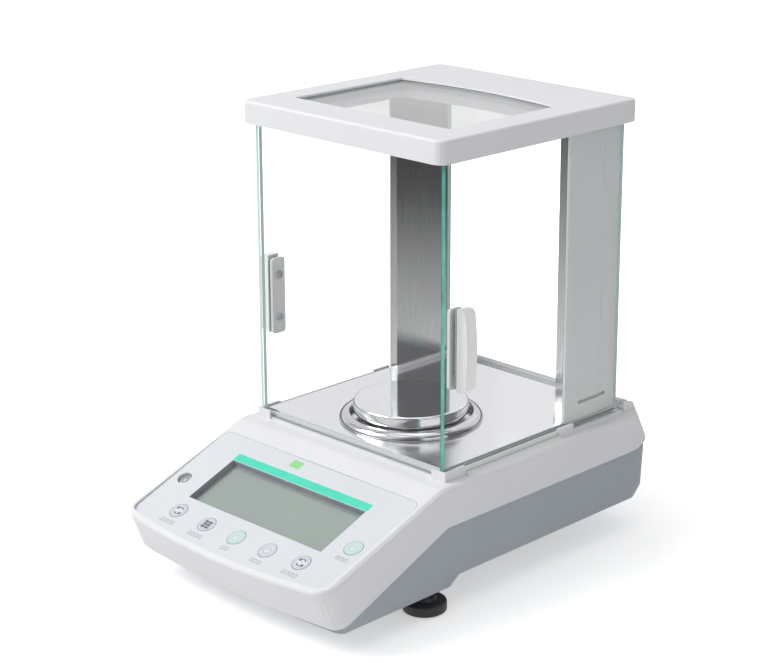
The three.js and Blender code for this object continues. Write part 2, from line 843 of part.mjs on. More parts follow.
const postBase = CHAMBER.floorZ - CHAMBER.plateThickness;
const postTop = LID.bottomZ + 1.2;

// Bent sheet: a narrow face to the front and a deep face to the chamber.
function postLiner(side) {
  const { postFrontY: front, postRearY: rear, postInnerX: inner } = CHAMBER;
  const sheet = 0.8;
  const section = [
    [inner, front],
    [inner + 6.6, front],
    [inner + 6.6, front + sheet],
    [inner + sheet, front + sheet],
    [inner + sheet, rear],
    [inner, rear],
  ];
  return mirrored(slab(section, postBase, postTop), side);
}

// Outer panel: a channel whose rear part stands back behind a groove, with a slot near the foot.
function postCover(side) {
  const { postFrontY: front, postRearY: rear, postInnerX, postOuterX: outer } = CHAMBER;
  const { wall, step, grooveFromRear, grooveWidth, grooveDepth, slotStart, slotEnd } = COVER;
  const inner = postInnerX + 0.8 + GAP;
  const stepY = rear - grooveFromRear;
  const grooveX = outer - step - grooveDepth;
  const flange = front + 0.8 + GAP;
  const section = [
    [outer - 1.6, front],
    [outer - 0.5, front + 0.5],
    [outer, front + 1.7],
    [outer, stepY - grooveWidth],
    [grooveX, stepY - grooveWidth],
    [grooveX, stepY],
    [outer - step, stepY],
    [outer - step, rear],
    [inner, rear],
    [inner, rear - wall],
    [outer - step - wall, rear - wall],
    [outer - step - wall, flange + wall],
    [inner, flange + wall],
    [inner, flange],
    [outer - 2.1, flange],
    [outer - 2.1, front],
  ];
  const slotZ = postBase + COVER.slotLift;
  const slot = block(outer - wall - 1, outer + 1, front + slotStart, front + slotEnd, slotZ,
    slotZ + COVER.slotHeight);
  return mirrored(cut(slab(section, postBase, postTop), slot), side);
}

pair("post_liner", postLiner, STEEL);
pair("post_cover", postCover, TRIM_PLASTIC);

// ---------------------------------------------------------------- top frame and top door

// Front, sides and an arched rear edge, seen from above.
function openingPlan(grow) {
  const { openingHalfWidth, openingFrontY, openingRearY, openingArch } = LID;
  const x = openingHalfWidth + grow;
  const points = [[-x, openingFrontY - grow], [x, openingFrontY - grow]];
  const steps = 12;
  for (let k = 0; k <= steps; k += 1) {
    const across = 1 - (2 * k) / steps;
    points.push([x * across, openingRearY + grow + openingArch * (1 - across * across)]);
  }
  return points;
}

function topFrame() {
  const { halfWidth, frontY, rearY, bottomZ, topZ, wall, corner } = LID;
  const bevel = 2;
  const plan = rounded(rectangle(-halfWidth + bevel, halfWidth - bevel, frontY + bevel, rearY - bevel),
    corner - bevel, 5);
  const outer = new THREE.ExtrudeGeometry(outline(plan), {
    depth: topZ - bottomZ,
    bevelSize: bevel,
    bevelThickness: bevel,
    bevelSegments: 3,
  }).translate(0, 0, bottomZ - bevel);
  const hollow = rounded(rectangle(-halfWidth + wall, halfWidth - wall, frontY + wall, rearY - wall),
    corner - wall, 5);
  const { glass, halfWidth: doorX } = CHAMBER;
  const cuts = [
    block(-200, 200, -200, 200, bottomZ - 9, bottomZ),
    slab(hollow, bottomZ - 1, topZ - LID.skin),
    slab(openingPlan(0), bottomZ, topZ + 1),
    // the top door runs out through the rear wall
    block(-85, 85, rearY - 9, rearY + 9, LID.paneBottomZ - 2 * GAP, topZ - LID.skin),
  ];
  for (const side of [1, -1]) {
    const edges = [side * (doorX - glass - 0.8), side * (doorX + 0.8)].sort((a, b) => a - b);
    cuts.push(block(...edges, rearY - 9, rearY + 9, bottomZ - 1, CHAMBER.doorTopZ + 0.6));
  }
  return cut(outer, ...cuts);
}

piece("top_frame", topFrame(), LIGHT_PLASTIC());

// The retainer closes the frame from below, guides the doors and carries the top pane.
function topRetainer() {
  const { glass, halfWidth: doorX, frontY: glassY, doorTopZ } = CHAMBER;
  const x = LID.halfWidth - LID.wall - 2 * GAP;
  const [front, rear] = [LID.frontY + LID.wall + 2 * GAP, LID.rearY - LID.wall - 2 * GAP];
  const [low, high] = [postTop + GAP, LID.paneBottomZ - GAP];
  const plan = rounded(rectangle(-x, x, front, rear), 4, 3);
  const cuts = [
    slab(openingPlan(1), low - 1, high + 1),
    block(-doorX + glass + GAP, doorX - glass - GAP, glassY - GAP, glassY + glass + GAP, low - 1,
      doorTopZ + GAP),
    block(-CHAMBER.postInnerX, CHAMBER.postInnerX, CHAMBER.rearGlassY - GAP,
      CHAMBER.rearGlassY + glass + GAP, low - 1, doorTopZ + GAP),
  ];
  for (const side of [1, -1]) {
    const edges = [side * (doorX - glass - GAP), side * (doorX + GAP)].sort((a, b) => a - b);
    cuts.push(block(...edges, glassY - GAP, rear + 9, low - 1, doorTopZ + GAP));
  }
  return cut(slab(plan, low, high), ...cuts);
}

piece("top_retainer", topRetainer(), TRIM_PLASTIC());

piece(
  "top_door_glass",
  block(-84, 84, LID.openingFrontY - 9, LID.openingRearY + LID.openingArch + 8, LID.paneBottomZ,
    LID.paneBottomZ + CHAMBER.glass),
  glass(),
);

// ---------------------------------------------------------------- pan and draft ring

function weighingPan() {
  const { radius, topZ, rim, thickness } = PAN;
  const profile = [
    [0, topZ],
    [radius - 1.2, topZ],
    [radius, topZ - 1.2],
    [radius, topZ - rim],
    [radius - thickness, topZ - rim],
    [radius - thickness, topZ - 1.2 - thickness / 2],
    [radius - 1.2 - thickness, topZ - thickness],
    [8, topZ - thickness],
    [8, topZ - thickness - 4],
    [6.3, topZ - thickness - 4],
    [6.3, topZ - thickness],
    [0, topZ - thickness],
  ];
  return turned(profile).translate(0, PAN.y, 0);
}

// A convex chromed bead: quarter-round from the crown down to its outer edge, turned in inside.
function draftRing() {
  const { outer, crown, inner, height, sheet } = RING;
  const z = CHAMBER.floorZ + GAP;
  const steps = 7;
  const bead = (reach, rise) =>
    Array.from({ length: steps + 1 }, (_, k) => {
      const angle = (k / steps) * (Math.PI / 2);
      return [crown + reach * Math.cos(angle), z + rise * Math.sin(angle)];
    });
  const profile = [
    ...bead(outer - crown, height),
    [inner, z + height - 0.6],
    [inner, z + height - 2.4],
    [inner + sheet, z + height - 2.4],
    ...bead(outer - crown - sheet, height - sheet).reverse(),
    [outer, z],
  ];
  return turned(profile).translate(0, PAN.y, 0);
}

piece("weighing_pan", weighingPan(), CHROME());
piece("draft_ring", draftRing(), CHROME());

// ---------------------------------------------------------------- weighing cell

const CELL = {
  baseZ: TRAY.rearZ + TRAY.wall + 2,
  uprightY: 68,
  receiverDepth: 14,
  receiverTopZ: 86,
  fulcrumY: 50.5,
  leverZ: 66,
  coilY: 113,
};

function cellBase() {
  const z = CELL.baseZ;
  const foot = block(-48, 48, -8, 133, z, z + 6);
  const upright = block(-30, 30, CELL.uprightY, CELL.uprightY + 13, z + 5, 88);
  const legs = [-11, 11].map((x) => block(x - 2, x + 2, CELL.fulcrumY - 3, CELL.fulcrumY + 3, z + 5,
    CELL.leverZ + 7));
  const window = block(-14, 14, CELL.uprightY - 1, CELL.uprightY + 14, 52, 78);
  return cut(join(foot, upright, ...legs), window, rod(30, z + 3, 80, 0, CELL.coilY, 32));
}

function loadReceiver() {
  const { receiverDepth: depth, receiverTopZ: top } = CELL;
  const frame = block(-26, 26, PAN.y - depth / 2, PAN.y + depth / 2, 46, top);
  const window = block(-15, 15, PAN.y - depth, PAN.y + depth, 54, 76);
  const tongue = block(-6, 6, PAN.y - 2, PAN.y + 9.5, 53, 60);
  return join(cut(frame, window), tongue);
}

// The two parallel guides are thin plates with a window, necked at both ends.
function guidePlate(z) {
  const [front, rear] = [PAN.y + CELL.receiverDepth / 2 + GAP, CELL.uprightY - GAP];
  const section = [
    [front, z],
    [front + 5, z],
    [front + 6, z - 0.5],
    [rear - 6, z - 0.5],
    [rear - 5, z],
    [rear, z],
    [rear, z + 1],
    [rear - 5, z + 1],
    [rear - 6, z + 1.5],
    [front + 6, z + 1.5],
    [front + 5, z + 1],
    [front, z + 1],
  ];
  const window = block(-15, 15, front + 7, rear - 7, z - 3, z + 3);
  return cut(alongX(section, -26, 26), window);
}

function weighLever() {
  const { leverZ: z, coilY, fulcrumY } = CELL;
  const bar = block(-4, 4, PAN.y + 1, coilY + 22, z - 3, z + 3);
  const hub = block(-8.5, 8.5, fulcrumY - 2.5, fulcrumY + 2.5, z - 2.5, z + 2.5);
  const eye = block(-5, 5, coilY - 5, coilY + 5, z - 3, z + 4);
  return cut(join(bar, hub, eye), rod(2.2, z - 9, z + 9, 0, coilY, 16));
}

function magnetPot() {
  const low = CELL.baseZ + 3 + GAP;
  const profile = [
    [0, low],
    [28, low],
    [28, 58],
    [27, 59],
    [17, 59],
    [17, low + 7],
    [12, low + 7],
    [12, 57],
    [11, 58],
    [0, 58],
  ];
  return turned(profile, 32).translate(0, CELL.coilY, 0);
}

// Former and winding, hung under the lever by its spigot.
function forceCoil() {
  const z = CELL.leverZ;
  const profile = [
    [0, z - 5.4],
    [13.4, z - 5.4],
    [13.4, 44],
    [15.4, 44],
    [15.4, z - 3 - GAP],
    [0, z - 3 - GAP],
  ];
  const spigot = rod(1.9, z - 4.5, z + 6, 0, 0, 16);
  return join(turned(profile, 28), spigot).translate(0, CELL.coilY, 0);
}

function panSupport() {
  const low = CELL.receiverTopZ + GAP;
  const top = PAN.topZ - PAN.thickness - GAP;
  const profile = [
    [0, low],
    [9, low],
    [9, low + 3],
    [5, low + 5],
    [5, CHAMBER.floorZ + 3],
    [6, CHAMBER.floorZ + 6],
    [6, top - 1],
    [5.4, top],
    [0, top],
  ];
  return turned(profile, 24).translate(0, PAN.y, 0);
}

function positionSensor() {
  const { coilY, leverZ: z } = CELL;
  const body = block(-9, 9, coilY + 15.5, coilY + 24.5, 59 + GAP, z + 9);
  return cut(body, block(-5.5, 5.5, coilY + 10, coilY + 30, z - 7, z + 7));
}

piece("cell_base", cellBase(), ALUMINIUM());
piece("load_receiver", loadReceiver(), ALUMINIUM());
piece("upper_guide", guidePlate(CELL.receiverTopZ - 6), ALUMINIUM());
piece("lower_guide", guidePlate(47), ALUMINIUM());
piece("weigh_lever", weighLever(), ALUMINIUM());
piece("magnet_pot", magnetPot(), STEEL());
piece("force_coil", forceCoil(), COPPER());
piece("pan_support", panSupport(), STEEL());
piece("position_sensor", positionSensor(), finish(0x2a2c30, 0.5));

// ---------------------------------------------------------------- control panel

const panel = new THREE.Group();
panel.position.copy(seatOrigin);
panel.rotation.x = seatSlope;
balance.add(panel);

function overlay() {
  const sheet = slab(overlayPlan(0), GAP, GAP + PANEL.overlayThickness);
  const { windowHalfWidth, windowTop, windowBottom, vialX, vialS, vialRadius } = PANEL;
  const holes = [
    block(-windowHalfWidth, windowHalfWidth, -windowBottom, -windowTop, -2, 4),
    rod(vialRadius, -2, 4, vialX, -vialS),
    ...KEYS.map((key) => rod(PANEL.keyRadius + 0.25, -2, 4, key.x, -key.s, 24)),
  ];
  return cut(sheet, ...holes);
}

piece("panel_overlay", overlay(), finish(0xe6e9ef, 0.35), panel);

const windowInset = 0.3;
piece(
  "display_window",
  block(-PANEL.windowHalfWidth + windowInset, PANEL.windowHalfWidth - windowInset,
    -PANEL.windowBottom + windowInset, -PANEL.windowTop - windowInset, -1.3, 0),
  glass(),
  panel,
);

const displayTop = -PANEL.displayDepth;
piece(
  "display_module",
  block(-PANEL.windowHalfWidth - 4, PANEL.windowHalfWidth + 4, -PANEL.windowBottom - 4,
    -PANEL.windowTop + 4, displayTop - 6, displayTop),
  finish(0xa3ada8, 0.3),
  panel,
);

const boardTop = displayTop - 6 - 2;

// One board carries the display and a push switch under each key.
function displayBoard() {
  const vialClear = PANEL.vialRadius + 4;
  const plate = cut(
    block(-94, 94, -112, -31, boardTop - 1.6, boardTop),
    block(-99, -80, -vialClear - PANEL.vialS, vialClear - PANEL.vialS, boardTop - 5, boardTop + 5),
  );
  const switches = KEYS.map(({ x, s }) =>
    join(
      block(x - 3, x + 3, -s - 3, -s + 3, boardTop - 0.5, boardTop + 4),
      rod(1.6, boardTop + 3, boardTop + 4.6, x, -s, 12),
    ),
  );
  return join(plate, ...switches);
}

piece("display_board", displayBoard(), BOARD(), panel);

// A key is a disc level with the overlay and a plunger down to its switch.
const plungerLow = boardTop + 4.6 + PANEL.keyTravel + 0.1;
for (const { name, x, s } of KEYS) {
  const discLow = GAP + PANEL.keyTravel + 0.1;
  const disc = rod(PANEL.keyRadius, discLow, GAP + PANEL.overlayThickness + 0.15, x, -s, 24);
  const plunger = rod(2.6, plungerLow, discLow + 0.2, x, -s, 12);
  piece(name, join(disc, plunger), finish(0xe6e9ef, 0.35), panel);
}

// Round bubble level: a cup behind the panel and a domed vial seen through the hole.
const vialTop = -1.2;
const vialCup = cut(
  rod(PANEL.vialRadius + 2.4, -15, -CASE.wall - GAP, PANEL.vialX, -PANEL.vialS),
  rod(PANEL.vialRadius, -13, 4, PANEL.vialX, -PANEL.vialS),
);
piece("level_housing", vialCup, BLACK_RUBBER(), panel);

function levelVial() {
  const r = PANEL.vialRadius - GAP;
  const profile = [
    [0, -12.6],
    [r, -12.6],
    [r, vialTop - 0.8],
    [r - 0.8, vialTop],
    [0, vialTop + 0.3],
  ];
  return turned(profile, 24).translate(PANEL.vialX, -PANEL.vialS, 0);
}

piece("level_vial", levelVial(), finish(0xb9d2b0, 0.1), panel);

// ---------------------------------------------------------------- electronics in the tray

function mainBoard() {
  const z = TRAY.frontZ + TRAY.wall + 6;
  const plate = block(-62, 74, -121, -66, z, z + 1.6);
  const posts = [-55, 55].flatMap((x) => [-114, -74].map((y) => rod(3, z - 5.7, z + 0.5, x, y, 12)));
  const parts = [
    block(-40, -22, -104, -86, z + 1, z + 3.6),
    block(-8, 8, -100, -84, z + 1, z + 3.2),
    block(30, 52, -84, -72, z + 1, z + 11),
    rod(5, z + 1, z + 13, 22, -78, 16),
  ];
  return join(plate, ...posts, ...parts);
}

piece("main_board", mainBoard(), BOARD());

// A flat cable folded once, from the display board down to the main board.
function ribbonCable() {
  const thickness = 1;
  const start = new THREE.Vector3(0, -70, boardTop - 1.6 - GAP).applyMatrix4(panelFrame);
  const endZ = TRAY.frontZ + TRAY.wall + 6 + 1.6 + GAP;
  const path = [
    [start.y, start.z],
    [start.y + 3, start.z - 8],
    [start.y + 2, endZ + 6],
    [start.y - 4, endZ + 1.5],
    [start.y - 4, endZ],
    [start.y - 3, endZ],
    [start.y + 2 + thickness, endZ + 5.6],
    [start.y + 3 + thickness, start.z - 8],
    [start.y + thickness, start.z + 0.35],
  ];
  return alongX(path, 58, 70);
}

piece("ribbon_cable", ribbonCable(), finish(0x9aa0a6, 0.6));

function powerJack() {
  const { x, z, radius } = POWER_JACK;
  const face = connectorFace;
  const barrel = new THREE.CylinderGeometry(radius, radius, 14, 24).translate(x, face - 7, z);
  const bore = new THREE.CylinderGeometry(2.8, 2.8, 10, 16).translate(x, face - 2, z);
  const pin = new THREE.CylinderGeometry(1, 1, 10, 12).translate(x, face - 6, z);
  return join(cut(barrel, bore), pin);
}

function serialPort() {
  const { x, z, halfWidth, halfHeight } = SERIAL_PORT;
  const face = connectorFace;
  const flange = block(x - halfWidth, x + halfWidth, face - 10, face - 2, z - halfHeight, z + halfHeight);
  const outlineOfShell = [[-8.4, 4], [8.4, 4], [7, -4], [-7, -4]];
  const shell = alongY(outlineOfShell.map(([u, v]) => [x + u, z + v]), face - 3, face + 3);
  return join(flange, shell);
}

piece("power_jack", powerJack(), finish(0x1d1e20, 0.5));
piece("serial_port", serialPort(), STEEL());

balance.position.set(0, -DATUM.y, -DATUM.tableZ);

export default balance;
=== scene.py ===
# Looks for the analytical balance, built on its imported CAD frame. Metres, +X to the right of someone
# facing the panel, +Y to the rear, +Z up.

import json
import math

import bmesh
import bpy
from mathutils import Matrix, Vector


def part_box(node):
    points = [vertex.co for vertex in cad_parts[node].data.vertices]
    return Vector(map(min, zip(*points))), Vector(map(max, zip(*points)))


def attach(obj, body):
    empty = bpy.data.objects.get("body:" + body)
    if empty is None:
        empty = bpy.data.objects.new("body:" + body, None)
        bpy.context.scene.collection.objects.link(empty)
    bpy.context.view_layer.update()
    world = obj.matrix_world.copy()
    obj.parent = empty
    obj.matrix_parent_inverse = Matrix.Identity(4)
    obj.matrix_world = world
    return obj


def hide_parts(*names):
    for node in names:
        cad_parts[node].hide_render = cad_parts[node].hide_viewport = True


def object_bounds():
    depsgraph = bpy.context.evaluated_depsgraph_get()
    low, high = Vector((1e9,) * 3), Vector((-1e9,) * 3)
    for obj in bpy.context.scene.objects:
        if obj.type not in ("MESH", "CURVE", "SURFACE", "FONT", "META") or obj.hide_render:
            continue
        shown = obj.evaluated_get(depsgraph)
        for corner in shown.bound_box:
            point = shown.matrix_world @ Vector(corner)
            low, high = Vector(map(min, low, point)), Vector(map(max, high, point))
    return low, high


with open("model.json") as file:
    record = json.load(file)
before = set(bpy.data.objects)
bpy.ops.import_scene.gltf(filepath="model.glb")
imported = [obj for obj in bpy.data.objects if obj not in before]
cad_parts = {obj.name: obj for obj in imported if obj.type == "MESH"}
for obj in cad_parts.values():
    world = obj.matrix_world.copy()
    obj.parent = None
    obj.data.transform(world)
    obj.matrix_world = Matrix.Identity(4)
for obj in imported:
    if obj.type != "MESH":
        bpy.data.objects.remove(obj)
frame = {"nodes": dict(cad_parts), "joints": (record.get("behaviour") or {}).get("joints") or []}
cad_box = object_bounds()
nodes = frame["nodes"]

MM = 0.001
SAME_PLACE = 1e-7
HAIR = 0.02 * MM  # the lap or clearance between touching pieces
SIDES = {"right": 1, "left": -1}


# ---------------------------------------------------------------- shader helpers

def new_material(name):
    material = bpy.data.materials.new(name)
    material.use_nodes = True
    tree = material.node_tree
    tree.nodes.clear()
    return material, tree, tree.nodes.new("ShaderNodeOutputMaterial")


def add(tree, kind, inputs=None, **settings):
    """A shader node with its settings and inputs. An input is a value or another node's socket."""
    node = tree.nodes.new(kind)
    for key, value in settings.items():
        setattr(node, key, value)
    for key, value in (inputs or {}).items():
        socket = node.inputs[key]
        if isinstance(value, bpy.types.NodeSocket):
            tree.links.new(value, socket)
        else:
            socket.default_value = value
    return node


def calc(tree, operation, first, second=0.0):
    return add(tree, "ShaderNodeMath", {0: first, 1: second}, operation=operation).outputs[0]


def remap(tree, value, low, high, from_low=0.0, from_high=1.0):
    inputs = {"Value": value, "From Min": from_low, "From Max": from_high, "To Min": low, "To Max": high}
    return add(tree, "ShaderNodeMapRange", inputs).outputs[0]


def noise_range(tree, value, low, high):
    """Noise keeps near its middle, so that stretch of it is spread from low to high."""
    return remap(tree, value, low, high, 0.3, 0.7)


def noise(tree, scale, stretch=(1, 1, 1), detail=3.0):
    place = add(tree, "ShaderNodeTexCoord").outputs["Object"]
    place = add(tree, "ShaderNodeMapping", {"Vector": place, "Scale": stretch}).outputs[0]
    return add(tree, "ShaderNodeTexNoise", {"Vector": place, "Scale": scale, "Detail": detail}).outputs[0]


def mix_color(tree, share, first, second):
    node = add(tree, "ShaderNodeMix", {0: share, 6: first, 7: second}, data_type="RGBA")
    return node.outputs[2]


def shade(color, factor):
    """A colour made darker or lighter, opaque."""
    return tuple(min(1.0, c * factor) for c in color[:3]) + (1.0,)


def surface(name, color, roughness, metallic=0.0, vary=0.04, vary_scale=18.0, rough_vary=0.08,
            grain=0.06, grain_scale=1100.0, stretch=(1, 1, 1), coat=0.0, depth=0.04 * MM, specular=0.5):
    """A moulded, rubber or metal finish: slow colour drift, uneven roughness and a fine surface grain."""
    material, tree, out = new_material(name)
    broad = noise(tree, vary_scale, detail=4.0)
    fine = noise(tree, grain_scale, stretch, detail=3.0)
    drift = noise_range(tree, broad, 0.0, 1.0)
    base = mix_color(tree, drift, shade(color, 1 - vary), shade(color, 1 + vary))
    rough = calc(tree, "ADD", remap(tree, broad, roughness - rough_vary / 2, roughness + rough_vary / 2),
                 remap(tree, fine, -rough_vary / 4, rough_vary / 4))
    bump = add(tree, "ShaderNodeBump", {"Strength": grain, "Distance": depth, "Height": fine})
    bsdf = add(tree, "ShaderNodeBsdfPrincipled", {
        "Base Color": base, "Roughness": rough, "Metallic": metallic, "Normal": bump.outputs[0],
        "Coat Weight": coat, "Coat Roughness": 0.12, "Specular IOR Level": specular,
    })
    tree.links.new(bsdf.outputs[0], out.inputs[0])
    return material


def brushed(name, color, roughness, stretch, scale=900.0, grain=0.25, spread=0.16, contrast=1.0):
    """Brushed or rolled metal: long fine streaks in brightness, roughness and height along one direction."""
    material, tree, out = new_material(name)
    streak = noise(tree, scale, stretch, detail=5.0)
    broad = noise(tree, 9.0, detail=3.0)
    fine_share = 0.6
    both = calc(tree, "ADD", calc(tree, "MULTIPLY", streak, fine_share),
                calc(tree, "MULTIPLY", broad, 1 - fine_share))
    base = mix_color(tree, remap(tree, both, 0.0, 1.0, 0.35, 0.65), shade(color, 1 - 0.14 * contrast),
                     shade(color, 1 + 0.05 * contrast))
    rough = noise_range(tree, both, roughness - spread / 2, roughness + spread / 2)
    bump = add(tree, "ShaderNodeBump", {"Strength": grain, "Distance": 0.03 * MM, "Height": streak})
    bsdf = add(tree, "ShaderNodeBsdfPrincipled", {
        "Base Color": base, "Roughness": rough, "Metallic": 1.0, "Normal": bump.outputs[0],
    })
    tree.links.new(bsdf.outputs[0], out.inputs[0])
    return material


def facing_reflectance(tree, floor, rise):
    """Schlick's rise in reflection towards grazing angles, the same for both sides of a pane."""
    most = 0.9
    facing = add(tree, "ShaderNodeLayerWeight", {"Blend": 0.5}).outputs["Facing"]
    return calc(tree, "ADD", calc(tree, "MULTIPLY", calc(tree, "POWER", facing, rise), most), floor)


PALE_EDGE = (0.50, 0.66, 0.62, 1)
GROUND_EDGE = (0.30, 0.34, 0.33, 1)
SQUARE_ON = 0.9  # a normal's share along an axis above which a face counts as facing it


def clear_glass(name, thin_axis, tint=(0.996, 0.998, 0.997, 1), edge=(0.08, 0.36, 0.28, 1), glow=0.12,
                floor=0.015, rise=5.0):
    """Float glass: clear across thin_axis, green at its polished edges with a painted glow, dull where it is
    seated.
    """
    material, tree, out = new_material(name)
    see = add(tree, "ShaderNodeBsdfTransparent", {"Color": tint})
    streaks = noise(tree, 14.0, detail=2.0)
    shine = add(tree, "ShaderNodeBsdfGlossy", {"Roughness": noise_range(tree, streaks, 0.0, 0.02)})
    pane = add(tree, "ShaderNodeMixShader", {0: facing_reflectance(tree, floor, rise), 1: see.outputs[0],
                                             2: shine.outputs[0]})
    drift = noise(tree, 60.0, detail=2.0)
    deep = mix_color(tree, noise_range(tree, drift, 0.0, 1.0), shade(edge, 0.75), shade(edge, 1.3))
    # Painted light: the edges are painted deep green towards the front right corner, which is seen along both
    # panes, and painted pale on the other edges.
    place = add(tree, "ShaderNodeTexCoord").outputs["Object"]
    corner = add(tree, "ShaderNodeSeparateXYZ", {0: place})
    painted_corner_share = calc(tree, "MULTIPLY", remap(tree, corner.outputs["X"], 0.0, 1.0, 0.03, 0.08),
               remap(tree, corner.outputs["Y"], 1.0, 0.0, -0.03, 0.02))
    body = mix_color(tree, painted_corner_share, PALE_EDGE, deep)
    # The rim glows by emission in its edge colour: a painted glow for light carried along the pane.
    rim = add(tree, "ShaderNodeBsdfPrincipled", {
        "Base Color": body, "Roughness": 0.12, "Emission Color": body, "Emission Strength": glow,
        "Coat Weight": 0.6, "Coat Roughness": 0.04,
    })
    if thin_axis is None:
        tree.links.new(pane.outputs[0], out.inputs[0])
        return material
    normal = add(tree, "ShaderNodeNewGeometry").outputs["Normal"]
    split = add(tree, "ShaderNodeSeparateXYZ", {0: normal})
    is_face = calc(tree, "GREATER_THAN", calc(tree, "ABSOLUTE", split.outputs[thin_axis]), SQUARE_ON)
    seated = calc(tree, "GREATER_THAN", calc(tree, "ABSOLUTE", split.outputs[2]), SQUARE_ON)
    ground = add(tree, "ShaderNodeBsdfPrincipled", {"Base Color": GROUND_EDGE, "Roughness": 0.5})
    edges = add(tree, "ShaderNodeMixShader", {0: seated, 1: rim.outputs[0], 2: ground.outputs[0]})
    both = add(tree, "ShaderNodeMixShader", {0: is_face, 1: edges.outputs[0], 2: pane.outputs[0]})
    tree.links.new(both.outputs[0], out.inputs[0])
    return material


def printed(name, color, roughness=0.4):
    return surface(name, color, roughness, vary=0.05, vary_scale=90.0, grain=0.04, grain_scale=2500.0)


# ---------------------------------------------------------------- mesh helpers

def link(name, mesh):
    piece = bpy.data.objects.new(name, mesh)
    bpy.context.scene.collection.objects.link(piece)
    return piece


def finish_piece(piece, body, material):
    piece.data.materials.clear()
    piece.data.materials.append(material)
    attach(piece, body)
    return piece


FLAT_WITHIN = math.radians(0.6)
FACE_WEIGHT = 60


def soften(piece, width, segments=3, angle=35.0, flatten=True):
    """Merges flat triangles, rounds the sharp edges and keeps flat faces flat in the shading."""
    if flatten:
        flat = piece.modifiers.new("flat", "DECIMATE")
        flat.decimate_type = "DISSOLVE"
        flat.angle_limit = FLAT_WITHIN
    if width:
        bevel = piece.modifiers.new("edges", "BEVEL")
        bevel.width = width
        bevel.segments = segments
        bevel.limit_method = "ANGLE"
        bevel.angle_limit = math.radians(angle)
        bevel.harden_normals = False
    for polygon in piece.data.polygons:
        polygon.use_smooth = True
    weighted = piece.modifiers.new("normals", "WEIGHTED_NORMAL")
    weighted.keep_sharp = True
    weighted.weight = FACE_WEIGHT
    return piece


def fillet(points, radii, segments=6):
    """Rounds the corners of a closed 2-D outline; a radius of 0 keeps a corner sharp."""
    out = []
    count = len(points)
    for i, point in enumerate(points):
        radius = radii[i] if isinstance(radii, (list, tuple)) else radii
        here = Vector(point)
        if radius <= 0:
            out.append(here)
            continue
        to_before = (Vector(points[i - 1]) - here).normalized()
        to_after = (Vector(points[(i + 1) % count]) - here).normalized()
        half = math.acos(max(-1.0, min(1.0, to_before.dot(to_after)))) / 2
        if half > math.pi / 2 - 0.01:
            out.append(here)
            continue
        reach = radius / math.tan(half)
        centre = here + (to_before + to_after).normalized() * radius / math.sin(half)
        start = here + to_before * reach - centre
        end = here + to_after * reach - centre
        sweep = math.atan2(start.x * end.y - start.y * end.x, start.dot(end))
        for k in range(segments + 1):
            angle = sweep * k / segments
            turn = Matrix.Rotation(angle, 2)
            out.append(centre + turn @ start)
    return out


def mesh_from(name, vertices, faces):
    mesh = bpy.data.meshes.new(name)
    mesh.from_pydata([tuple(v) for v in vertices], [], faces)
    mesh.validate()
    shape = bmesh.new()
    shape.from_mesh(mesh)
    bmesh.ops.remove_doubles(shape, verts=shape.verts, dist=SAME_PLACE)
    bmesh.ops.recalc_face_normals(shape, faces=shape.faces)
    shape.to_mesh(mesh)
    shape.free()
    return mesh


def lathe(name, profile, centre, steps=96, wave=None):
    """A closed [radius, height] profile turned about Z. wave(angle, radius) may change the radius."""
    vertices, faces = [], []
    count = len(profile)
    for k in range(steps):
        angle = 2 * math.pi * k / steps
        for radius, height in profile:
            r = wave(angle, radius) if wave else radius
            vertices.append((centre[0] + r * math.cos(angle), centre[1] + r * math.sin(angle),
                             centre[2] + height))
    for k in range(steps):
        after = (k + 1) % steps
        for i in range(count):
            j = (i + 1) % count
            if profile[i][0] < 1e-9 and profile[j][0] < 1e-9:
                continue
            faces.append((k * count + i, after * count + i, after * count + j, k * count + j))
    return link(name, mesh_from(name, vertices, faces))


def prism(name, outline, low, high, place=Matrix.Identity(4), holes=()):
    """A 2-D outline, with any holes, raised from low to high in its own frame and then placed."""
    loops = [list(outline)] + [list(hole) for hole in holes]
    shape = bmesh.new()
    for loop in loops:
        bottom = [shape.verts.new(place @ Vector((p[0], p[1], low))) for p in loop]
        top = [shape.verts.new(place @ Vector((p[0], p[1], high))) for p in loop]
        for i in range(len(loop)):
            j = (i + 1) % len(loop)
            shape.faces.new((bottom[i], bottom[j], top[j], top[i]))
            if not shape.edges.get((bottom[i], bottom[j])):
                shape.edges.new((bottom[i], bottom[j]))
    shape.edges.ensure_lookup_table()
    for wanted in (low, high):
        rim = [e for e in shape.edges if len(e.link_faces) == 1
               and all(abs((place.inverted() @ v.co).z - wanted) < SAME_PLACE for v in e.verts)]
        bmesh.ops.triangle_fill(shape, use_beauty=True, use_dissolve=False, edges=rim)
    bmesh.ops.recalc_face_normals(shape, faces=shape.faces)
    mesh = bpy.data.meshes.new(name)
    shape.to_mesh(mesh)
    shape.free()
    return link(name, mesh)


def circle(radius, centre=(0.0, 0.0), steps=48):
    return [(centre[0] + radius * math.cos(2 * math.pi * k / steps),
             centre[1] + radius * math.sin(2 * math.pi * k / steps)) for k in range(steps)]


def rectangle(x0, x1, y0, y1):
    return [(x0, y0), (x1, y0), (x1, y1), (x0, y1)]


def round_rectangle(x0, x1, y0, y1, radius, segments=6):
    return fillet(rectangle(x0, x1, y0, y1), radius, segments)


def arc_band(radius, width, start, end, steps=24):
    """A thin curved band between two angles, in degrees."""
    angles = [math.radians(start + (end - start) * k / steps) for k in range(steps + 1)]
    outer = [((radius + width / 2) * math.cos(a), (radius + width / 2) * math.sin(a)) for a in angles]
    inner = [((radius - width / 2) * math.cos(a), (radius - width / 2) * math.sin(a)) for a in angles]
    return outer + inner[::-1]


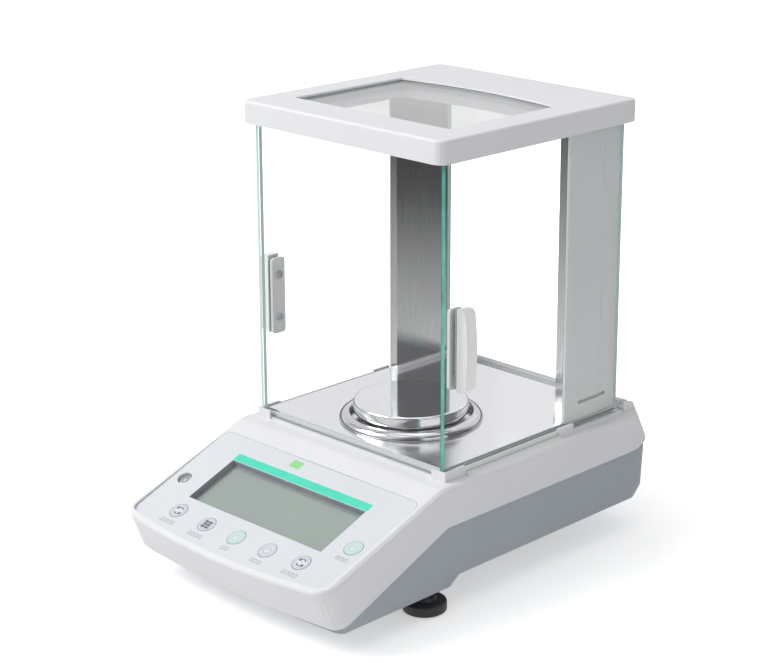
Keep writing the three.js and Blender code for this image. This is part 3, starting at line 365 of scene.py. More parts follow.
def join_pieces(name, pieces):
    """One object out of several meshes that lie apart from each other."""
    shape = bmesh.new()
    for piece in pieces:
        shape.from_mesh(piece.data)
        old = piece.data
        bpy.data.objects.remove(piece)
        bpy.data.meshes.remove(old)
    mesh = bpy.data.meshes.new(name)
    shape.to_mesh(mesh)
    shape.free()
    return link(name, mesh)


# ---------------------------------------------------------------- materials

shell = surface("shell_plastic", (0.785, 0.785, 0.795), 0.62, vary=0.012, grain=0.10, grain_scale=1300.0,
                specular=0.22)
lid_shell = surface("lid_plastic", (0.77, 0.77, 0.785), 0.36, vary=0.012, grain=0.08, grain_scale=1300.0)
grip_shell = surface("grip_plastic", (0.93, 0.93, 0.925), 0.34, vary=0.012, grain=0.06, grain_scale=1300.0)
grey_shell = surface("grey_plastic", (0.39, 0.43, 0.465), 0.46, vary=0.03, grain=0.16, grain_scale=1100.0)
trim = surface("trim_plastic", (0.75, 0.765, 0.765), 0.34, vary=0.015, grain=0.06, grain_scale=1300.0)
film = surface("overlay_film", (0.70, 0.72, 0.745), 0.44, vary=0.01, rough_vary=0.05, grain=0.05,
               grain_scale=2600.0, coat=0.1)
key_film = surface("key_film", (0.71, 0.73, 0.755), 0.30, vary=0.01, rough_vary=0.05, grain=0.05,
                   grain_scale=2600.0, coat=0.25)
rubber = surface("black_rubber", (0.022, 0.022, 0.024), 0.6, vary=0.15, grain=0.35, grain_scale=700.0,
                 depth=0.08 * MM)
soft_grey = surface("grey_rubber", (0.46, 0.47, 0.47), 0.6, vary=0.05, grain=0.2, grain_scale=900.0)
black = surface("black_plastic", (0.03, 0.03, 0.033), 0.4, vary=0.12, grain=0.2, grain_scale=1100.0)
dark_wall = surface("bezel_dark", (0.30, 0.31, 0.355), 0.42, vary=0.08, grain=0.1)
lcd_face = surface("lcd", (0.33, 0.385, 0.355), 0.24, vary=0.03, vary_scale=10.0, rough_vary=0.04,
                   grain=0.03, grain_scale=3000.0)
aluminium = brushed("machined_aluminium", (0.72, 0.73, 0.74, 1), 0.36, (1, 0.06, 1), scale=1200.0)
plate_steel = brushed("floor_steel", (0.90, 0.90, 0.91, 1), 0.2, (0.03, 1, 1), scale=1500.0, grain=0.03,
                      spread=0.06, contrast=0.25)
post_steel = brushed("post_steel", (0.70, 0.71, 0.72, 1), 0.16, (1, 1, 0.02), scale=1400.0, grain=0.10,
                     spread=0.08)
ring_steel = brushed("ring_steel", (0.70, 0.70, 0.715, 1), 0.09, (1, 1, 1), scale=700.0, grain=0.02,
                     spread=0.04)
polished = brushed("polished_steel", (0.90, 0.90, 0.91, 1), 0.07, (1, 1, 1), scale=700.0, grain=0.02,
                   spread=0.04)
screw_steel = brushed("screw_steel", (0.75, 0.75, 0.76, 1), 0.25, (1, 1, 1), scale=1500.0)
plated_steel = brushed("plated_steel", (0.60, 0.60, 0.58, 1), 0.3, (1, 1, 1), scale=500.0)
copper = brushed("winding", (0.72, 0.36, 0.17, 1), 0.3, (0.1, 0.1, 1), scale=3500.0, grain=0.6)
brass = brushed("gold_pin", (0.85, 0.65, 0.30, 1), 0.22, (1, 1, 1), scale=1500.0)
label_print = printed("label_print", (0.42, 0.43, 0.46))
green_print = printed("green_print", (0.07, 0.70, 0.50))
leaf_print = printed("leaf_print", (0.30, 0.72, 0.25))
dark_print = printed("dark_print", (0.13, 0.15, 0.18))
grey_print = printed("grey_print", (0.36, 0.40, 0.45))
green_icon = printed("green_icon", (0.22, 0.66, 0.55))
cable = surface("ribbon_grey", (0.45, 0.47, 0.50), 0.5, grain=0.6, grain_scale=800.0, stretch=(1, 0.01, 0.01),
                depth=0.3 * MM)
door_glass = clear_glass("door_glass", 0)
front_glass = clear_glass("front_and_rear_glass", 1)
top_glass = clear_glass("top_glass", 2, edge=(0.03, 0.05, 0.045, 1), glow=0.0, floor=0.03, rise=2.6)
window_glass = clear_glass("window_glass", None)


def circuit_board(name):
    """Green solder mask with a pattern of tracks and small pads under it."""
    material, tree, out = new_material(name)
    place = add(tree, "ShaderNodeTexCoord").outputs["Object"]
    tracks = add(tree, "ShaderNodeTexBrick", {
        "Vector": place, "Scale": 160.0, "Mortar Size": 0.06, "Color1": (0.02, 0.17, 0.09, 1),
        "Color2": (0.03, 0.22, 0.11, 1), "Mortar": (0.05, 0.30, 0.15, 1),
    })
    pads = add(tree, "ShaderNodeTexVoronoi", {"Vector": place, "Scale": 240.0})
    is_pad = calc(tree, "LESS_THAN", pads.outputs["Distance"], 0.16)
    base = mix_color(tree, is_pad, tracks.outputs["Color"], (0.62, 0.60, 0.52, 1))
    bump = add(tree, "ShaderNodeBump", {"Strength": 0.4, "Distance": 0.0001, "Height": tracks.outputs["Fac"]})
    bsdf = add(tree, "ShaderNodeBsdfPrincipled", {
        "Base Color": base, "Roughness": remap(tree, is_pad, 0.42, 0.2), "Normal": bump.outputs[0],
    })
    tree.links.new(bsdf.outputs[0], out.inputs[0])
    return material


board = circuit_board("circuit_board")


# ---------------------------------------------------------------- CAD nodes that keep their shape

def dress(name, material, width, segments=3, angle=35.0):
    """Gives a CAD node its material and rounds its edges by width, in millimetres."""
    piece = nodes[name]
    piece.data.materials.clear()
    piece.data.materials.append(material)
    soften(piece, width * MM, segments, angle)


dress("upper_case", shell, 0.5)
dress("lower_case", grey_shell, 0.5)
dress("top_frame", lid_shell, 0.5)
dress("top_retainer", lid_shell, 0.3)
dress("floor_plate", plate_steel, 0.2)
dress("front_glass", front_glass, 0)
dress("rear_glass", front_glass, 0)
dress("top_door_glass", top_glass, 0)
dress("panel_overlay", film, 0.12, 2)
dress("display_module", lcd_face, 0.4)
dress("display_board", board, 0.1, 1)
dress("main_board", board, 0.1, 1)
dress("cell_base", aluminium, 0.5)
dress("load_receiver", aluminium, 0.5)
dress("upper_guide", aluminium, 0.1)
dress("lower_guide", aluminium, 0.1)
dress("weigh_lever", aluminium, 0.3)
dress("position_sensor", black, 0.3)
dress("level_housing", soft_grey, 0.3)
dress("ribbon_cable", cable, 0.1)
dress("magnet_pot", plated_steel, 0.4)
dress("force_coil", copper, 0.2)
for word in SIDES:
    dress(word + "_door_track", trim, 0.15)
    dress(word + "_door_glass", door_glass, 0)
    dress(word + "_handle_plate", shell, 0.6)
    dress(word + "_handle_gasket", soft_grey, 0.15)
    dress(word + "_handle_grip", grip_shell, 1.3, 4, 25.0)
    dress(word + "_handle_screw_lower", screw_steel, 0.2)
    dress(word + "_handle_screw_upper", screw_steel, 0.2)
    dress(word + "_post_liner", post_steel, 0.15)
    dress(word + "_post_cover", trim, 0.4)


# ---------------------------------------------------------------- pan and draft ring

def centre_of(name):
    low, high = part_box(name)
    return (low + high) / 2


def replace(piece, node, body, material, edge=0.0, segments=2):
    """Finishes a piece and lets it stand for a CAD node."""
    finish_piece(piece, body, material)
    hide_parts(node)
    soften(piece, edge * MM, segments, flatten=False)
    return piece


def weighing_pan():
    """A turned sheet with a rolled-down rim and a hub below that sits on the stem."""
    low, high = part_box("weighing_pan")
    middle = centre_of("weighing_pan")
    radius = (high.x - low.x) / 2
    top, bottom = high.z, low.z
    sheet, hub, hub_inner = 1.0 * MM, 8.0 * MM, 6.3 * MM
    hub_low = top - 5.0 * MM
    outline = [
        (0, top), (radius, top), (radius, bottom), (radius - sheet, bottom), (radius - sheet, top - sheet),
        (hub, top - sheet), (hub, hub_low), (hub_inner, hub_low), (hub_inner, top - sheet), (0, top - sheet),
    ]
    radii = [0, 1.9 * MM, 0.3 * MM, 0.3 * MM, 1.0 * MM, 0.5 * MM, 0.2 * MM, 0.2 * MM, 0, 0]
    profile = fillet(outline, radii, 6)
    return lathe("pan_dish", profile, (middle.x, middle.y, 0), 128)


def draft_ring():
    """A quarter-round chromed bead whose crown turns down at the inner edge."""
    low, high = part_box("draft_ring")
    middle = centre_of("draft_ring")
    outer = (high.x - low.x) / 2
    height = high.z - low.z
    inner, crown, sheet = outer - 8.2 * MM, outer - 6.9 * MM, 0.9 * MM
    lip_low = high.z - 2.4 * MM
    steps = 14

    def bead(reach, rise):
        turns = [math.pi / 2 * k / steps for k in range(steps + 1)]
        return [(crown + reach * math.cos(a), low.z + rise * math.sin(a)) for a in turns]

    lip = fillet([(crown, high.z), (inner, high.z - 0.35 * MM), (inner, lip_low),
                  (inner + sheet, lip_low), (inner + sheet, high.z - sheet)],
                 [0, 0.6 * MM, 0.4 * MM, 0.4 * MM, 0], 5)
    under = bead(outer - crown - sheet, height - sheet)[::-1]
    profile = bead(outer - crown, height)[:-1] + [tuple(p) for p in lip] + under
    return lathe("ring_dish", profile, (middle.x, middle.y, 0), 128)


def pan_support():
    """The stem that carries the pan: a flange inside the case and a wider seat above the plate."""
    low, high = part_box("pan_support")
    middle = centre_of("pan_support")
    flange, stem, seat = (high.x - low.x) / 2, 5 * MM, 6 * MM
    plate_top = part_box("floor_plate")[1].z
    outline = [
        (0, low.z), (flange, low.z), (flange, low.z + 3 * MM), (stem, low.z + 5 * MM),
        (stem, plate_top + 3 * MM), (seat, plate_top + 6 * MM), (seat, high.z), (0, high.z),
    ]
    profile = fillet(outline, [0, 0.6 * MM, 0.8 * MM, 1.5 * MM, 0.8 * MM, 0.8 * MM, 0.8 * MM, 0], 5)
    return lathe("pan_stem", profile, (middle.x, middle.y, 0), 64)


replace(weighing_pan(), "weighing_pan", "pan", polished)
replace(draft_ring(), "draft_ring", "ring", ring_steel)
replace(pan_support(), "pan_support", "load_stage", polished)


def post_sill(word):
    """A moulded strip along the foot of a post liner, on the floor plate."""
    low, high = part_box(word + "_post_liner")
    side = SIDES[word]
    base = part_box("floor_plate")[1].z
    tall, thick, gap = 3.4 * MM, 1.7 * MM, 0.05 * MM
    inner = low.x if side > 0 else high.x
    edges = sorted((inner - side * thick, inner - side * gap))
    plan = round_rectangle(edges[0], edges[1], low.y - 0.6 * MM, high.y - 1.5 * MM, 0.6 * MM, 4)
    return prism(word + "_post_sill", plan, base + HAIR, base + tall)


def slot_backing(word):
    """A flat strip behind the slot in a post cover, so the slot shows a shallow pocket."""
    low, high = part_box(word + "_post_cover")
    side = SIDES[word]
    outer = high.x if side > 0 else low.x
    edges = sorted((outer - side * 3.4 * MM, outer - side * 2.9 * MM))
    plan = rectangle(edges[0], edges[1], low.y + 12 * MM, low.y + 52 * MM)
    return prism(word + "_slot_backing", plan, low.z + 6 * MM, low.z + 22 * MM)


for word in SIDES:
    finish_piece(soften(post_sill(word), 0.4 * MM, 3), "base", shell)
    finish_piece(soften(slot_backing(word), 0.1 * MM, 2), "base", trim)


# ---------------------------------------------------------------- feet

def foot_knob(word):
    """A fluted knob with a stepped collar, hollow below."""
    low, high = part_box(word + "_foot_knob")
    middle = centre_of(word + "_foot_knob")
    radius = (high.x - low.x) / 2
    bore, collar, collar_top = 4.3 * MM, 8.6 * MM, 7.6 * MM
    shoulder = high.z - 3.4 * MM
    recess, recess_radius = low.z + 1.2 * MM, radius - 2.7 * MM
    outline = [
        (bore, recess), (recess_radius, recess), (recess_radius, low.z), (radius, low.z),
        (radius, shoulder), (collar, shoulder + 0.5 * MM), (collar_top, high.z), (bore, high.z),
    ]
    profile = fillet(outline, [0, 0.2 * MM, 0.5 * MM, 1.3 * MM, 1.4 * MM, 0.6 * MM, 0.5 * MM, 0], 5)
    flutes, depth, reach = 36, 0.35 * MM, 1.2 * MM

    def fluted(angle, r):
        near_rim = max(0.0, (r - (radius - reach)) / reach)
        return r - depth * near_rim * (0.5 + 0.5 * math.cos(flutes * angle)) ** 3

    return lathe(word + "_knob", profile, (middle.x, middle.y, 0), flutes * 8, fluted)


def threaded_stud(word):
    """A stud with a real helical thread of 1.25 mm pitch, plain at the foot end."""
    low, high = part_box(word + "_foot_stud")
    middle = centre_of(word + "_foot_stud")
    crest = (high.x - low.x) / 2
    root, pitch = crest - 0.7 * MM, 1.25 * MM
    plain_top = low.z + 12.5 * MM
    steps, per_pitch = 24, 6
    rows = int((high.z - plain_top) / pitch * per_pitch)
    vertices, faces = [], []
    # The first three rows are the chamfer and the plain length.
    heights = [low.z, low.z + 0.8 * MM, plain_top - 0.6 * MM]
    heights += [plain_top + (high.z - plain_top) * k / rows for k in range(rows + 1)]
    for row, z in enumerate(heights):
        for k in range(steps):
            if row == 0:
                r = crest - 0.5 * MM
            elif row < 3:
                r = crest
            else:
                phase = ((z - plain_top) / pitch - k / steps) % 1.0
                taper = min(1.0, (high.z - z) / (1.5 * pitch))
                r = root + (crest - root) * abs(2 * phase - 1) * taper
            angle = 2 * math.pi * k / steps
            vertices.append((middle.x + r * math.cos(angle), middle.y + r * math.sin(angle), z))
    for row in range(len(heights) - 1):
        for k in range(steps):
            after = (k + 1) % steps
            faces.append((row * steps + k, row * steps + after, (row + 1) * steps + after,
                          (row + 1) * steps + k))
    faces.append(tuple(range(steps)))
    faces.append(tuple(range((len(heights) - 1) * steps, len(heights) * steps)))
    return link(word + "_threaded_stud", mesh_from(word + "_threaded_stud", vertices, faces))


def foot_pad(word):
    """The soft sole under a knob."""
    low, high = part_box(word + "_foot_pad")
    middle = centre_of(word + "_foot_pad")
    radius, chamfer = (high.x - low.x) / 2, 0.6 * MM
    outline = [(0, low.z), (radius - chamfer, low.z), (radius, low.z + chamfer), (radius, high.z),
               (0, high.z)]
    profile = fillet(outline, [0, 0.3 * MM, 0.3 * MM, 0.4 * MM, 0], 4)
    return lathe(word + "_rubber_sole", profile, (middle.x, middle.y, 0), 72)


def rear_foot():
    """The fixed foot: a wide sole, a neck up to the tray and a peg through it."""
    low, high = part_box("rear_foot")
    middle = centre_of("rear_foot")
    radius, peg = (high.x - low.x) / 2, 3 * MM
    neck, tray = radius - 3 * MM, high.z - 7 * MM
    outline = [
        (0, low.z), (radius - 1 * MM, low.z), (radius, low.z + 1.2 * MM), (radius, low.z + 6 * MM),
        (neck, tray - 3 * MM), (neck, tray), (peg, tray), (peg, high.z), (0, high.z),
    ]
    profile = fillet(outline, [0, 0.4 * MM, 0.5 * MM, 1.2 * MM, 1 * MM, 0.3 * MM, 0.3 * MM, 0.5 * MM, 0], 4)
    return lathe("rear_foot_post", profile, (middle.x, middle.y, 0), 72)


for word in SIDES:
    replace(foot_knob(word), word + "_foot_knob", word + "_foot_screw", black)
    replace(threaded_stud(word), word + "_foot_stud", word + "_foot_screw", screw_steel)
    replace(foot_pad(word), word + "_foot_pad", word + "_foot_sole", rubber)
replace(rear_foot(), "rear_foot", "base", rubber)


# ---------------------------------------------------------------- rear connectors and case screws

# Faces to the rear: local x to the left, y up and z out of the rear wall.
FACING_REAR = Matrix(((-1, 0, 0, 0), (0, 0, 1, 0), (0, 1, 0, 0), (0, 0, 0, 1)))


def at_rear(name, depth=0.0):
    """The place of a connector's front face, seen square from behind."""
    middle = centre_of(name)
    return Matrix.Translation((middle.x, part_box(name)[1].y - depth, middle.z)) @ FACING_REAR


def power_socket():
    """A round barrel with a chamfered mouth and its centre pin."""
    low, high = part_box("power_jack")
    radius, length = (high.x - low.x) / 2, high.y - low.y
    bore, bore_end, pin_radius, pin_tip = 2.8 * MM, -10 * MM, 1 * MM, -1 * MM
    outline = [(bore, bore_end), (bore, 0), (radius, 0), (radius, -length), (0, -length), (0, bore_end)]
    profile = fillet(outline, [0.2 * MM, 0.7 * MM, 0.6 * MM, 0.3 * MM, 0, 0], 4)
    barrel = lathe("power_barrel", profile, (0, 0, 0), 64)
    pin_foot = -11 * MM
    pin_outline = [(0, pin_foot), (pin_radius, pin_foot), (pin_radius, pin_tip), (0, pin_tip)]
    pin = lathe("power_pin", fillet(pin_outline, [0, 0, 0.5 * MM, 0], 4), (0, 0, 0), 32)
    for piece in (barrel, pin):
        piece.data.transform(at_rear("power_jack"))
    replace(barrel, "power_jack", "base", black)
    finish_piece(soften(pin, 0, flatten=False), "base", screw_steel)


def serial_socket():
    """A nine-pin connector: flange, hollow shell, insulator, pins and two hexagonal standoffs."""
    low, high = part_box("serial_port")
    half_width, half_height = (high.x - low.x) / 2, (high.z - low.z) / 2
    length = high.y - low.y
    place = at_rear("serial_port")
    flange_top, rooted, corner = -5 * MM, 0.05 * MM, 1.2 * MM

    def d_outline(shrink):
        top, bottom, tall = 8.4 * MM - shrink, 7.0 * MM - shrink, 4.0 * MM - shrink
        corners = [(-bottom, -tall), (bottom, -tall), (top, tall), (-top, tall)]
        return [tuple(p) for p in fillet(corners, corner, 5)]

    plate = round_rectangle(-half_width, half_width, -half_height, half_height, corner)
    flange = prism("flange", plate, -length, flange_top, place)
    shell_wall = prism("shell_wall", d_outline(0), flange_top - rooted, 0, place,
                       [d_outline(0.5 * MM)[::-1]])
    body = join_pieces("serial_shell", [flange, shell_wall])
    replace(body, "serial_port", "base", plated_steel, 0.12)
    insulator = prism("serial_insulator", d_outline(0.55 * MM), flange_top - HAIR, -3.2 * MM, place)
    finish_piece(soften(insulator, 0.1 * MM, 2), "base", black)
    pins = []
    pin_foot, pin_tip, pin_radius = -3.4 * MM, -0.6 * MM, 0.5 * MM
    profile = fillet([(0, pin_foot), (pin_radius, pin_foot), (pin_radius, pin_tip), (0, pin_tip)],
                     [0, 0, pin_radius / 2, 0], 3)
    for row, count in ((1, 5), (-1, 4)):
        for i in range(count):
            u = (i - (count - 1) / 2) * 2.75 * MM
            pins.append(lathe("pin", profile, (u, row * 1.4 * MM, 0), 16))
    pins = join_pieces("serial_pins", pins)
    pins.data.transform(place)
    finish_piece(pins, "base", brass)
    nuts = []
    for side in (-1, 1):
        middle = (side * 12.5 * MM, 0)
        nuts.append(prism("nut", circle(2.6 * MM, middle, 6), flange_top - rooted, -0.4 * MM, place,
                          [circle(1.3 * MM, middle, 20)[::-1]]))
    nuts = join_pieces("serial_standoffs", nuts)
    finish_piece(soften(nuts, 0.15 * MM, 2), "base", screw_steel)


def case_screws():
    """Pan-head screws with a crossed recess, sunk in the wells of the underside."""
    places = [(side * x, y) for x, y in ((70 * MM, -133 * MM), (84 * MM, 127 * MM)) for side in (-1, 1)]
    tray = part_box("lower_case")[0].z
    well, step_up = 4 * MM, 6.8 * MM
    crown, head_radius, shank = -2.0 * MM, 3.1 * MM, 1.4 * MM
    head = fillet([(0, crown), (head_radius, -1.4 * MM), (head_radius, 0), (shank, 0), (shank, 6 * MM),
                   (0, 7 * MM)], [0, 1.0 * MM, 0.2 * MM, 0.1 * MM, 0.4 * MM, 0], 4)
    bar = rectangle(-1.7 * MM, 1.7 * MM, -0.32 * MM, 0.32 * MM)
    for number, (x, y) in enumerate(places):
        seat = tray + well + (step_up if y > 0 else 0)
        screw = lathe(f"case_screw_{number + 1}", head, (x, y, seat), 40)
        cross = []
        for angle in (20, 110):
            turn = Matrix.Translation((x, y, seat)) @ Matrix.Rotation(math.radians(angle), 4, "Z")
            cross.append(prism("bar", bar, -2.04 * MM, -1.3 * MM, turn))
        cross = join_pieces(f"case_screw_recess_{number + 1}", cross)
        finish_piece(soften(screw, 0, flatten=False), "base", screw_steel)
        finish_piece(cross, "base", black)


power_socket()
serial_socket()
case_screws()


# ---------------------------------------------------------------- control panel

# Panel places: u to the right, v up the slope, w out of the surface, from the window's centre.
press = Vector(next(j for j in frame["joints"] if j["name"] == "on_travel")["axis"]).normalized()
out_of_panel = -press
up_panel = Vector((0, -out_of_panel.z, out_of_panel.y)).normalized() * -1
window_low, window_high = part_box("display_window")
window_thickness = 1.3 * MM
surface_point = (window_low + window_high) / 2 + out_of_panel * window_thickness / 2
panel = Matrix((
    (1, up_panel.x, out_of_panel.x, surface_point.x),
    (0, up_panel.y, out_of_panel.y, surface_point.y),
    (0, up_panel.z, out_of_panel.z, surface_point.z),
    (0, 0, 0, 1),
))
FILM_TOP = 1.0 * MM
INK = 0.05 * MM
LCD_TOP = -3.8 * MM
window_half_x = (window_high.x - window_low.x) / 2
window_half_v = 22.7 * MM


def ink(name, outlines, u, v, material, body="base", base=FILM_TOP, spin=0.0):
    """A print on the panel: a closed shape as thin as paint."""
    place = panel @ Matrix.Translation((u, v, 0)) @ Matrix.Rotation(spin, 4, "Z")
    marks = []
    for i, item in enumerate(outlines):
        outline, holes = item if isinstance(item, tuple) else (item, ())
        marks.append(prism(f"{name}_{i}", outline, base - HAIR, base + INK, place, holes))
    piece = join_pieces(name, marks) if len(marks) > 1 else marks[0]
    piece.name = name
    finish_piece(piece, body, material)
    return piece


def display_window():
    """The clear pane, set just under the overlay's face."""
    outline = round_rectangle(-window_half_x, window_half_x, -window_half_v, window_half_v, 1.2 * MM)
    return prism("window_pane", outline, -window_thickness, FILM_TOP - 0.06 * MM, panel)


def display_liner():
    """The dark wall round the sunken display."""
    grow, wall = 0.27 * MM, 0.25 * MM
    x, v = window_half_x + grow, window_half_v + grow
    outer = rectangle(-x, x, -v, v)
    inner = rectangle(-x + wall, x - wall, -v + wall, v - wall)
    return prism("display_liner", outer, LCD_TOP + HAIR, FILM_TOP - HAIR, panel, [inner[::-1]])


replace(display_window(), "display_window", "base", window_glass)
finish_piece(display_liner(), "base", dark_wall)

# A lighter viewing area inside the display's darker rim.
rim_x, rim_v = window_half_x - 0.2 * MM, window_half_v - 0.2 * MM
view_x, view_v = window_half_x - 3 * MM, window_half_v - 2.6 * MM
rim_outer = rectangle(-rim_x, rim_x, -rim_v, rim_v)
rim_inner = round_rectangle(-view_x, view_x, -view_v, view_v, 0.8 * MM)
lcd_rim = surface("lcd_rim", (0.26, 0.30, 0.29), 0.3, vary=0.03, grain=0.04)
ink("display_rim", [(rim_outer, [rim_inner[::-1]])], 0, 0, lcd_rim, base=LCD_TOP)

bar_low, bar_tall = window_half_v + 0.7 * MM, 7.3 * MM
bar_half = window_half_x + 0.9 * MM
stripe = round_rectangle(-bar_half, bar_half, bar_low, bar_low + bar_tall, 0.8 * MM)
ink("stripe", [stripe], 0, 0, green_print)
tile = round_rectangle(-5.2 * MM, 5.2 * MM, -3.7 * MM, 3.7 * MM, 1.6 * MM)
ink("plain_tile", [tile], -18 * MM, bar_low + 16.6 * MM, leaf_print)


def power_icon(radius):
    """A ring open at the top, with a stroke through the gap."""
    stroke = rectangle(-0.3 * MM, 0.3 * MM, 0.1 * radius, 1.25 * radius)
    return [arc_band(radius, 0.55 * MM, 125, 415), stroke]


def cycle_icon(radius):
    """Two curved arrows chasing each other."""
    marks = []
    width, head = 0.9 * MM, 1.7 * MM
    for start, end in ((35, 130), (215, 310)):
        marks.append(arc_band(radius, width, start, end))
        angle = math.radians(end)
        side = Vector((math.cos(angle), math.sin(angle)))
        along = Vector((-math.sin(angle), math.cos(angle)))
        tip = side * radius
        marks.append([tuple(p) for p in (tip + side * head, tip + along * head * 1.4, tip - side * head)])
    return marks


def menu_icon(half):
    """A page of short lines: three rows in two columns."""
    marks = []
    rows, gap = 3, 0.45 * MM
    height = (2 * half - gap * (rows - 1)) / rows
    for row in range(rows):
        low = -half + row * (height + gap)
        marks.append(rectangle(-half, -gap / 2, low, low + height))
        marks.append(rectangle(gap / 2, half, low, low + height))
    return marks


def label_blocks(count):
    """Open boxes where the key's name would be printed."""
    width, height, pitch, stroke = 2.9 * MM, 3.4 * MM, 3.9 * MM, 0.6 * MM
    middle = -12.1 * MM
    boxes = []
    for i in range(count):
        u = (i - (count - 1) / 2) * pitch
        left, right, low, high = u - width / 2, u + width / 2, middle - height / 2, middle + height / 2
        inner = rectangle(left + stroke, right - stroke, low + stroke, high - stroke)
        boxes.append((rectangle(left, right, low, high), [inner[::-1]]))
    return boxes


# Body, icon, ring and icon colours, and how many boxes stand for its name.
KEY_LOOKS = {
    "tare_key_left": ("tare_left_press", cycle_icon(3.3 * MM), grey_print, dark_print, 4),
    "menu_key": ("menu_press", menu_icon(3.6 * MM), grey_print, dark_print, 4),
    "on_key": ("on_press", power_icon(3.2 * MM), green_icon, green_icon, 2),
    "calibration_key": ("calibration_press", power_icon(3.2 * MM), grey_print, grey_print, 3),
    "tare_key_right": ("tare_right_press", cycle_icon(3.3 * MM), grey_print, dark_print, 4),
    "off_key": ("off_press", power_icon(3.2 * MM), green_icon, green_icon, 3),
}
KEY_TOP = FILM_TOP + 0.15 * MM
KEY_DISC = 0.35 * MM
KEY_RINGS = ((0.05 * MM, 0.6 * MM), (1.75 * MM, 2.1 * MM))  # each ring's edges, measured in from the rim


def key_centre(key):
    """The middle of a key on the panel. Its disc, not its plunger, sets the key's box along Y."""
    low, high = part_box(key)
    across = (low.y + high.y) / 2 - surface_point.y - out_of_panel.y * (KEY_TOP - KEY_DISC / 2)
    return (low.x + high.x) / 2, across / up_panel.y, (high.x - low.x) / 2


for key, (body, icon, ring_tone, icon_tone, letters) in KEY_LOOKS.items():
    u, v, radius = key_centre(key)
    dress(key, key_film, 0.15, 2)
    rings = [(circle(radius - outer, steps=64), [circle(radius - inner, steps=64)[::-1]])
             for outer, inner in KEY_RINGS]
    ink(key + "_rings", rings, u, v, ring_tone, body, KEY_TOP)
    ink(key + "_icon", icon, u, v, icon_tone, body, KEY_TOP)
    ink(key + "_label_blocks", label_blocks(letters), u, v, label_print)


# ---------------------------------------------------------------- level

fluid = surface("level_fluid", (0.46, 0.49, 0.48), 0.3, vary=0.08, vary_scale=300.0, rough_vary=0.04,
                grain=0.0, coat=0.15)
bubble_skin = surface("level_bubble", (0.51, 0.54, 0.53), 0.12, vary=0.1, vary_scale=400.0, grain=0.0,
                      coat=0.6)


def level():
    """A round vial with a domed top, a ring mark and a bubble that has settled off centre."""
    local = panel.inverted() @ centre_of("level_housing")
    low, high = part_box("level_vial")
    radius = (high.x - low.x) / 2
    place = panel @ Matrix.Translation((local.x, local.y, 0))
    foot = -12.6 * MM
    outline = [(0, foot), (radius, foot), (radius, -1.9 * MM), (radius - 0.9 * MM, -1.2 * MM), (0, -0.9 * MM)]
    profile = fillet(outline, [0, 0.5 * MM, 0.6 * MM, 0.9 * MM, 0], 5)
    vial = lathe("level_vial_glass", profile, (0, 0, 0), 64)
    mark = rectangle(2.35 * MM, 2.65 * MM, -1.05 * MM, -0.86 * MM)
    ring = lathe("level_ring_mark", mark, (0, 0, 0), 64)
    dome = [(0, -1.1 * MM), (1.5 * MM, -1.1 * MM), (1.6 * MM, -0.95 * MM), (1.3 * MM, -0.8 * MM),
            (0.7 * MM, -0.72 * MM), (0, -0.7 * MM)]
    skin = fillet(dome, [0, 0.05 * MM, 0.1 * MM, 0.3 * MM, 0.3 * MM, 0], 4)
    bubble = lathe("level_bubble", skin, (-0.4 * MM, 0.5 * MM, 0), 48)
    for piece in (vial, ring, bubble):
        piece.data.transform(place)
    replace(vial, "level_vial", "base", fluid)
    finish_piece(soften(ring, 0, flatten=False), "base", dark_print)
    finish_piece(soften(bubble, 0, flatten=False), "base", bubble_skin)


level()


# ---------------------------------------------------------------- room, light and camera

WHITE = (1, 1, 1, 1)


def floor_material():
    """White table. Metal sees it as a painted glow that fades to a dark room past its edge, as it would in a
    small studio; the camera sees it glow more with distance, a painted lightening of its shadow and fall-off.
    """
    material, tree, out = new_material("studio_floor")
    drift = noise(tree, 3.0)
    base = mix_color(tree, drift, (0.90, 0.90, 0.90, 1), (0.92, 0.92, 0.92, 1))
    table = add(tree, "ShaderNodeBsdfPrincipled", {"Base Color": base, "Roughness": 0.75})
    rays = add(tree, "ShaderNodeLightPath")
    place = add(tree, "ShaderNodeTexCoord").outputs["Object"]
    reach = add(tree, "ShaderNodeVectorMath", {0: place}, operation="LENGTH").outputs["Value"]
    # Painted light: to the camera the table glows, from 0.45 within 0.2 m of the middle up to 0.95 beyond 0.7
    # m, lightening its shadow.
    seen = add(tree, "ShaderNodeBsdfPrincipled", {
        "Base Color": base, "Roughness": 0.8, "Emission Color": WHITE,
        "Emission Strength": remap(tree, reach, 0.45, 0.95, 0.2, 0.7),
    })
    # In front of the balance the painted glow that metal sees stays bright further out.
    ahead = calc(tree, "MINIMUM", add(tree, "ShaderNodeSeparateXYZ", {0: place}).outputs["Y"], 0.0)
    fade = remap(tree, calc(tree, "ADD", reach, calc(tree, "MULTIPLY", ahead, 0.4)), 0.75, 0.07, 0.3, 1.0)
    far = add(tree, "ShaderNodeEmission", {"Color": WHITE, "Strength": fade})
    first = add(tree, "ShaderNodeMixShader", {0: rays.outputs["Is Glossy Ray"], 1: table.outputs[0],
                                              2: far.outputs[0]})
    both = add(tree, "ShaderNodeMixShader", {0: rays.outputs["Is Camera Ray"], 1: first.outputs[0],
                                             2: seen.outputs[0]})
    tree.links.new(both.outputs[0], out.inputs[0])
    return material


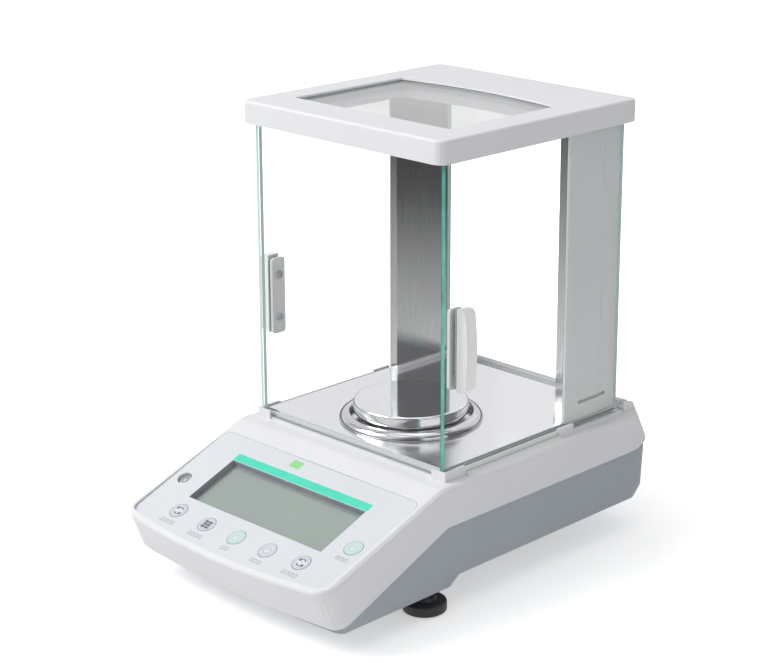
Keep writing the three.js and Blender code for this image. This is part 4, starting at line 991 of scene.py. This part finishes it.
def studio():
    """The table, and a world that looks white to the camera but structured to polished metal."""
    bpy.ops.mesh.primitive_plane_add(size=14, location=(0, 0, cad_box[0].z - 0.0001))
    floor = bpy.context.object
    floor.name = "studio_floor"
    floor.data.materials.append(floor_material())

    world = bpy.data.worlds.new("studio")
    bpy.context.scene.world = world
    world.use_nodes = True
    tree = world.node_tree
    tree.nodes.clear()
    out = tree.nodes.new("ShaderNodeOutputWorld")
    direction = add(tree, "ShaderNodeTexCoord").outputs["Generated"]
    parts = add(tree, "ShaderNodeSeparateXYZ", {0: direction}).outputs
    ramp = add(tree, "ShaderNodeValToRGB", {0: remap(tree, parts["Z"], 0.0, 1.0, -1.0, 1.0)})
    # Brightness by height, from straight down at 0 to straight up at 1.
    stops = [(0.0, 0.30), (0.47, 0.22), (0.53, 0.10), (0.555, 0.20), (0.585, 0.97), (1.0, 1.0)]
    ramp.color_ramp.elements[0].position = stops[0][0]
    ramp.color_ramp.elements[1].position = stops[-1][0]
    for position, _ in stops[1:-1]:
        ramp.color_ramp.elements.new(position)
    for element, (_, value) in zip(ramp.color_ramp.elements, stops):
        element.color = (value, value, value * 1.02, 1)
    rays = add(tree, "ShaderNodeLightPath")
    plain = add(tree, "ShaderNodeBackground", {"Color": (0.97, 0.98, 1.0, 1), "Strength": 0.4})
    # A white backdrop stands behind and to the left; the right of the room is unlit.
    lit_side = remap(tree, parts["X"], 0.9, 0.16, 0.15, 0.5)
    mirror = add(tree, "ShaderNodeBackground", {"Color": ramp.outputs[0], "Strength": lit_side})
    seen = add(tree, "ShaderNodeBackground", {"Color": WHITE, "Strength": 1.0})
    glossy = add(tree, "ShaderNodeMixShader", {0: rays.outputs["Is Glossy Ray"], 1: plain.outputs[0],
                                               2: mirror.outputs[0]})
    camera_or = add(tree, "ShaderNodeMixShader", {0: rays.outputs["Is Camera Ray"], 1: glossy.outputs[0],
                                                  2: seen.outputs[0]})
    tree.links.new(camera_or.outputs[0], out.inputs[0])


def area_light(name, place, target, size, power, color=(1, 1, 1)):
    data = bpy.data.lights.new(name, "AREA")
    data.shape = "RECTANGLE"
    data.size, data.size_y = size
    data.energy = power
    data.color = color
    lamp = bpy.data.objects.new(name, data)
    bpy.context.scene.collection.objects.link(lamp)
    lamp.location = place
    lamp.rotation_euler = (Vector(target) - Vector(place)).to_track_quat("-Z", "Y").to_euler()


CAMERA = {
    "place": (1.0025, -1.0037, 0.6309), "azimuth": 43.2, "elevation": 16.8, "roll": 0.37,
    "lens": 94.94, "shift": (-0.0922, -0.0477),
}


def camera():
    """A long lens, shifted so that the verticals keep the photograph's slight convergence."""
    data = bpy.data.cameras.new("camera")
    data.sensor_width = 36
    data.lens = CAMERA["lens"]
    data.shift_x, data.shift_y = CAMERA["shift"]
    view = bpy.data.objects.new("camera", data)
    bpy.context.scene.collection.objects.link(view)
    azimuth, elevation, roll = (math.radians(CAMERA[turn]) for turn in ("azimuth", "elevation", "roll"))
    back = Vector((math.sin(azimuth) * math.cos(elevation), -math.cos(azimuth) * math.cos(elevation),
                   math.sin(elevation)))
    right = back.cross(Vector((0, 0, 1))).normalized() * -1
    up = back.cross(right)
    right, up = (right * math.cos(roll) + up * math.sin(roll), up * math.cos(roll) - right * math.sin(roll))
    turn = Matrix((right, up, back)).transposed().to_4x4()
    view.matrix_world = Matrix.Translation(CAMERA["place"]) @ turn
    bpy.context.scene.camera = view


studio()
area_light("key", (-1.3, -1.6, 1.9), (0, 0, 0.15), (1.6, 1.6), 52)
area_light("overhead", (0.1, 0.2, 2.2), (0, 0, 0.1), (2.0, 2.0), 9)
area_light("side_fill", (2.4, -0.3, 0.9), (0, 0, 0.15), (1.8, 1.4), 6)
camera()
bpy.context.scene.view_settings.view_transform = "Standard"
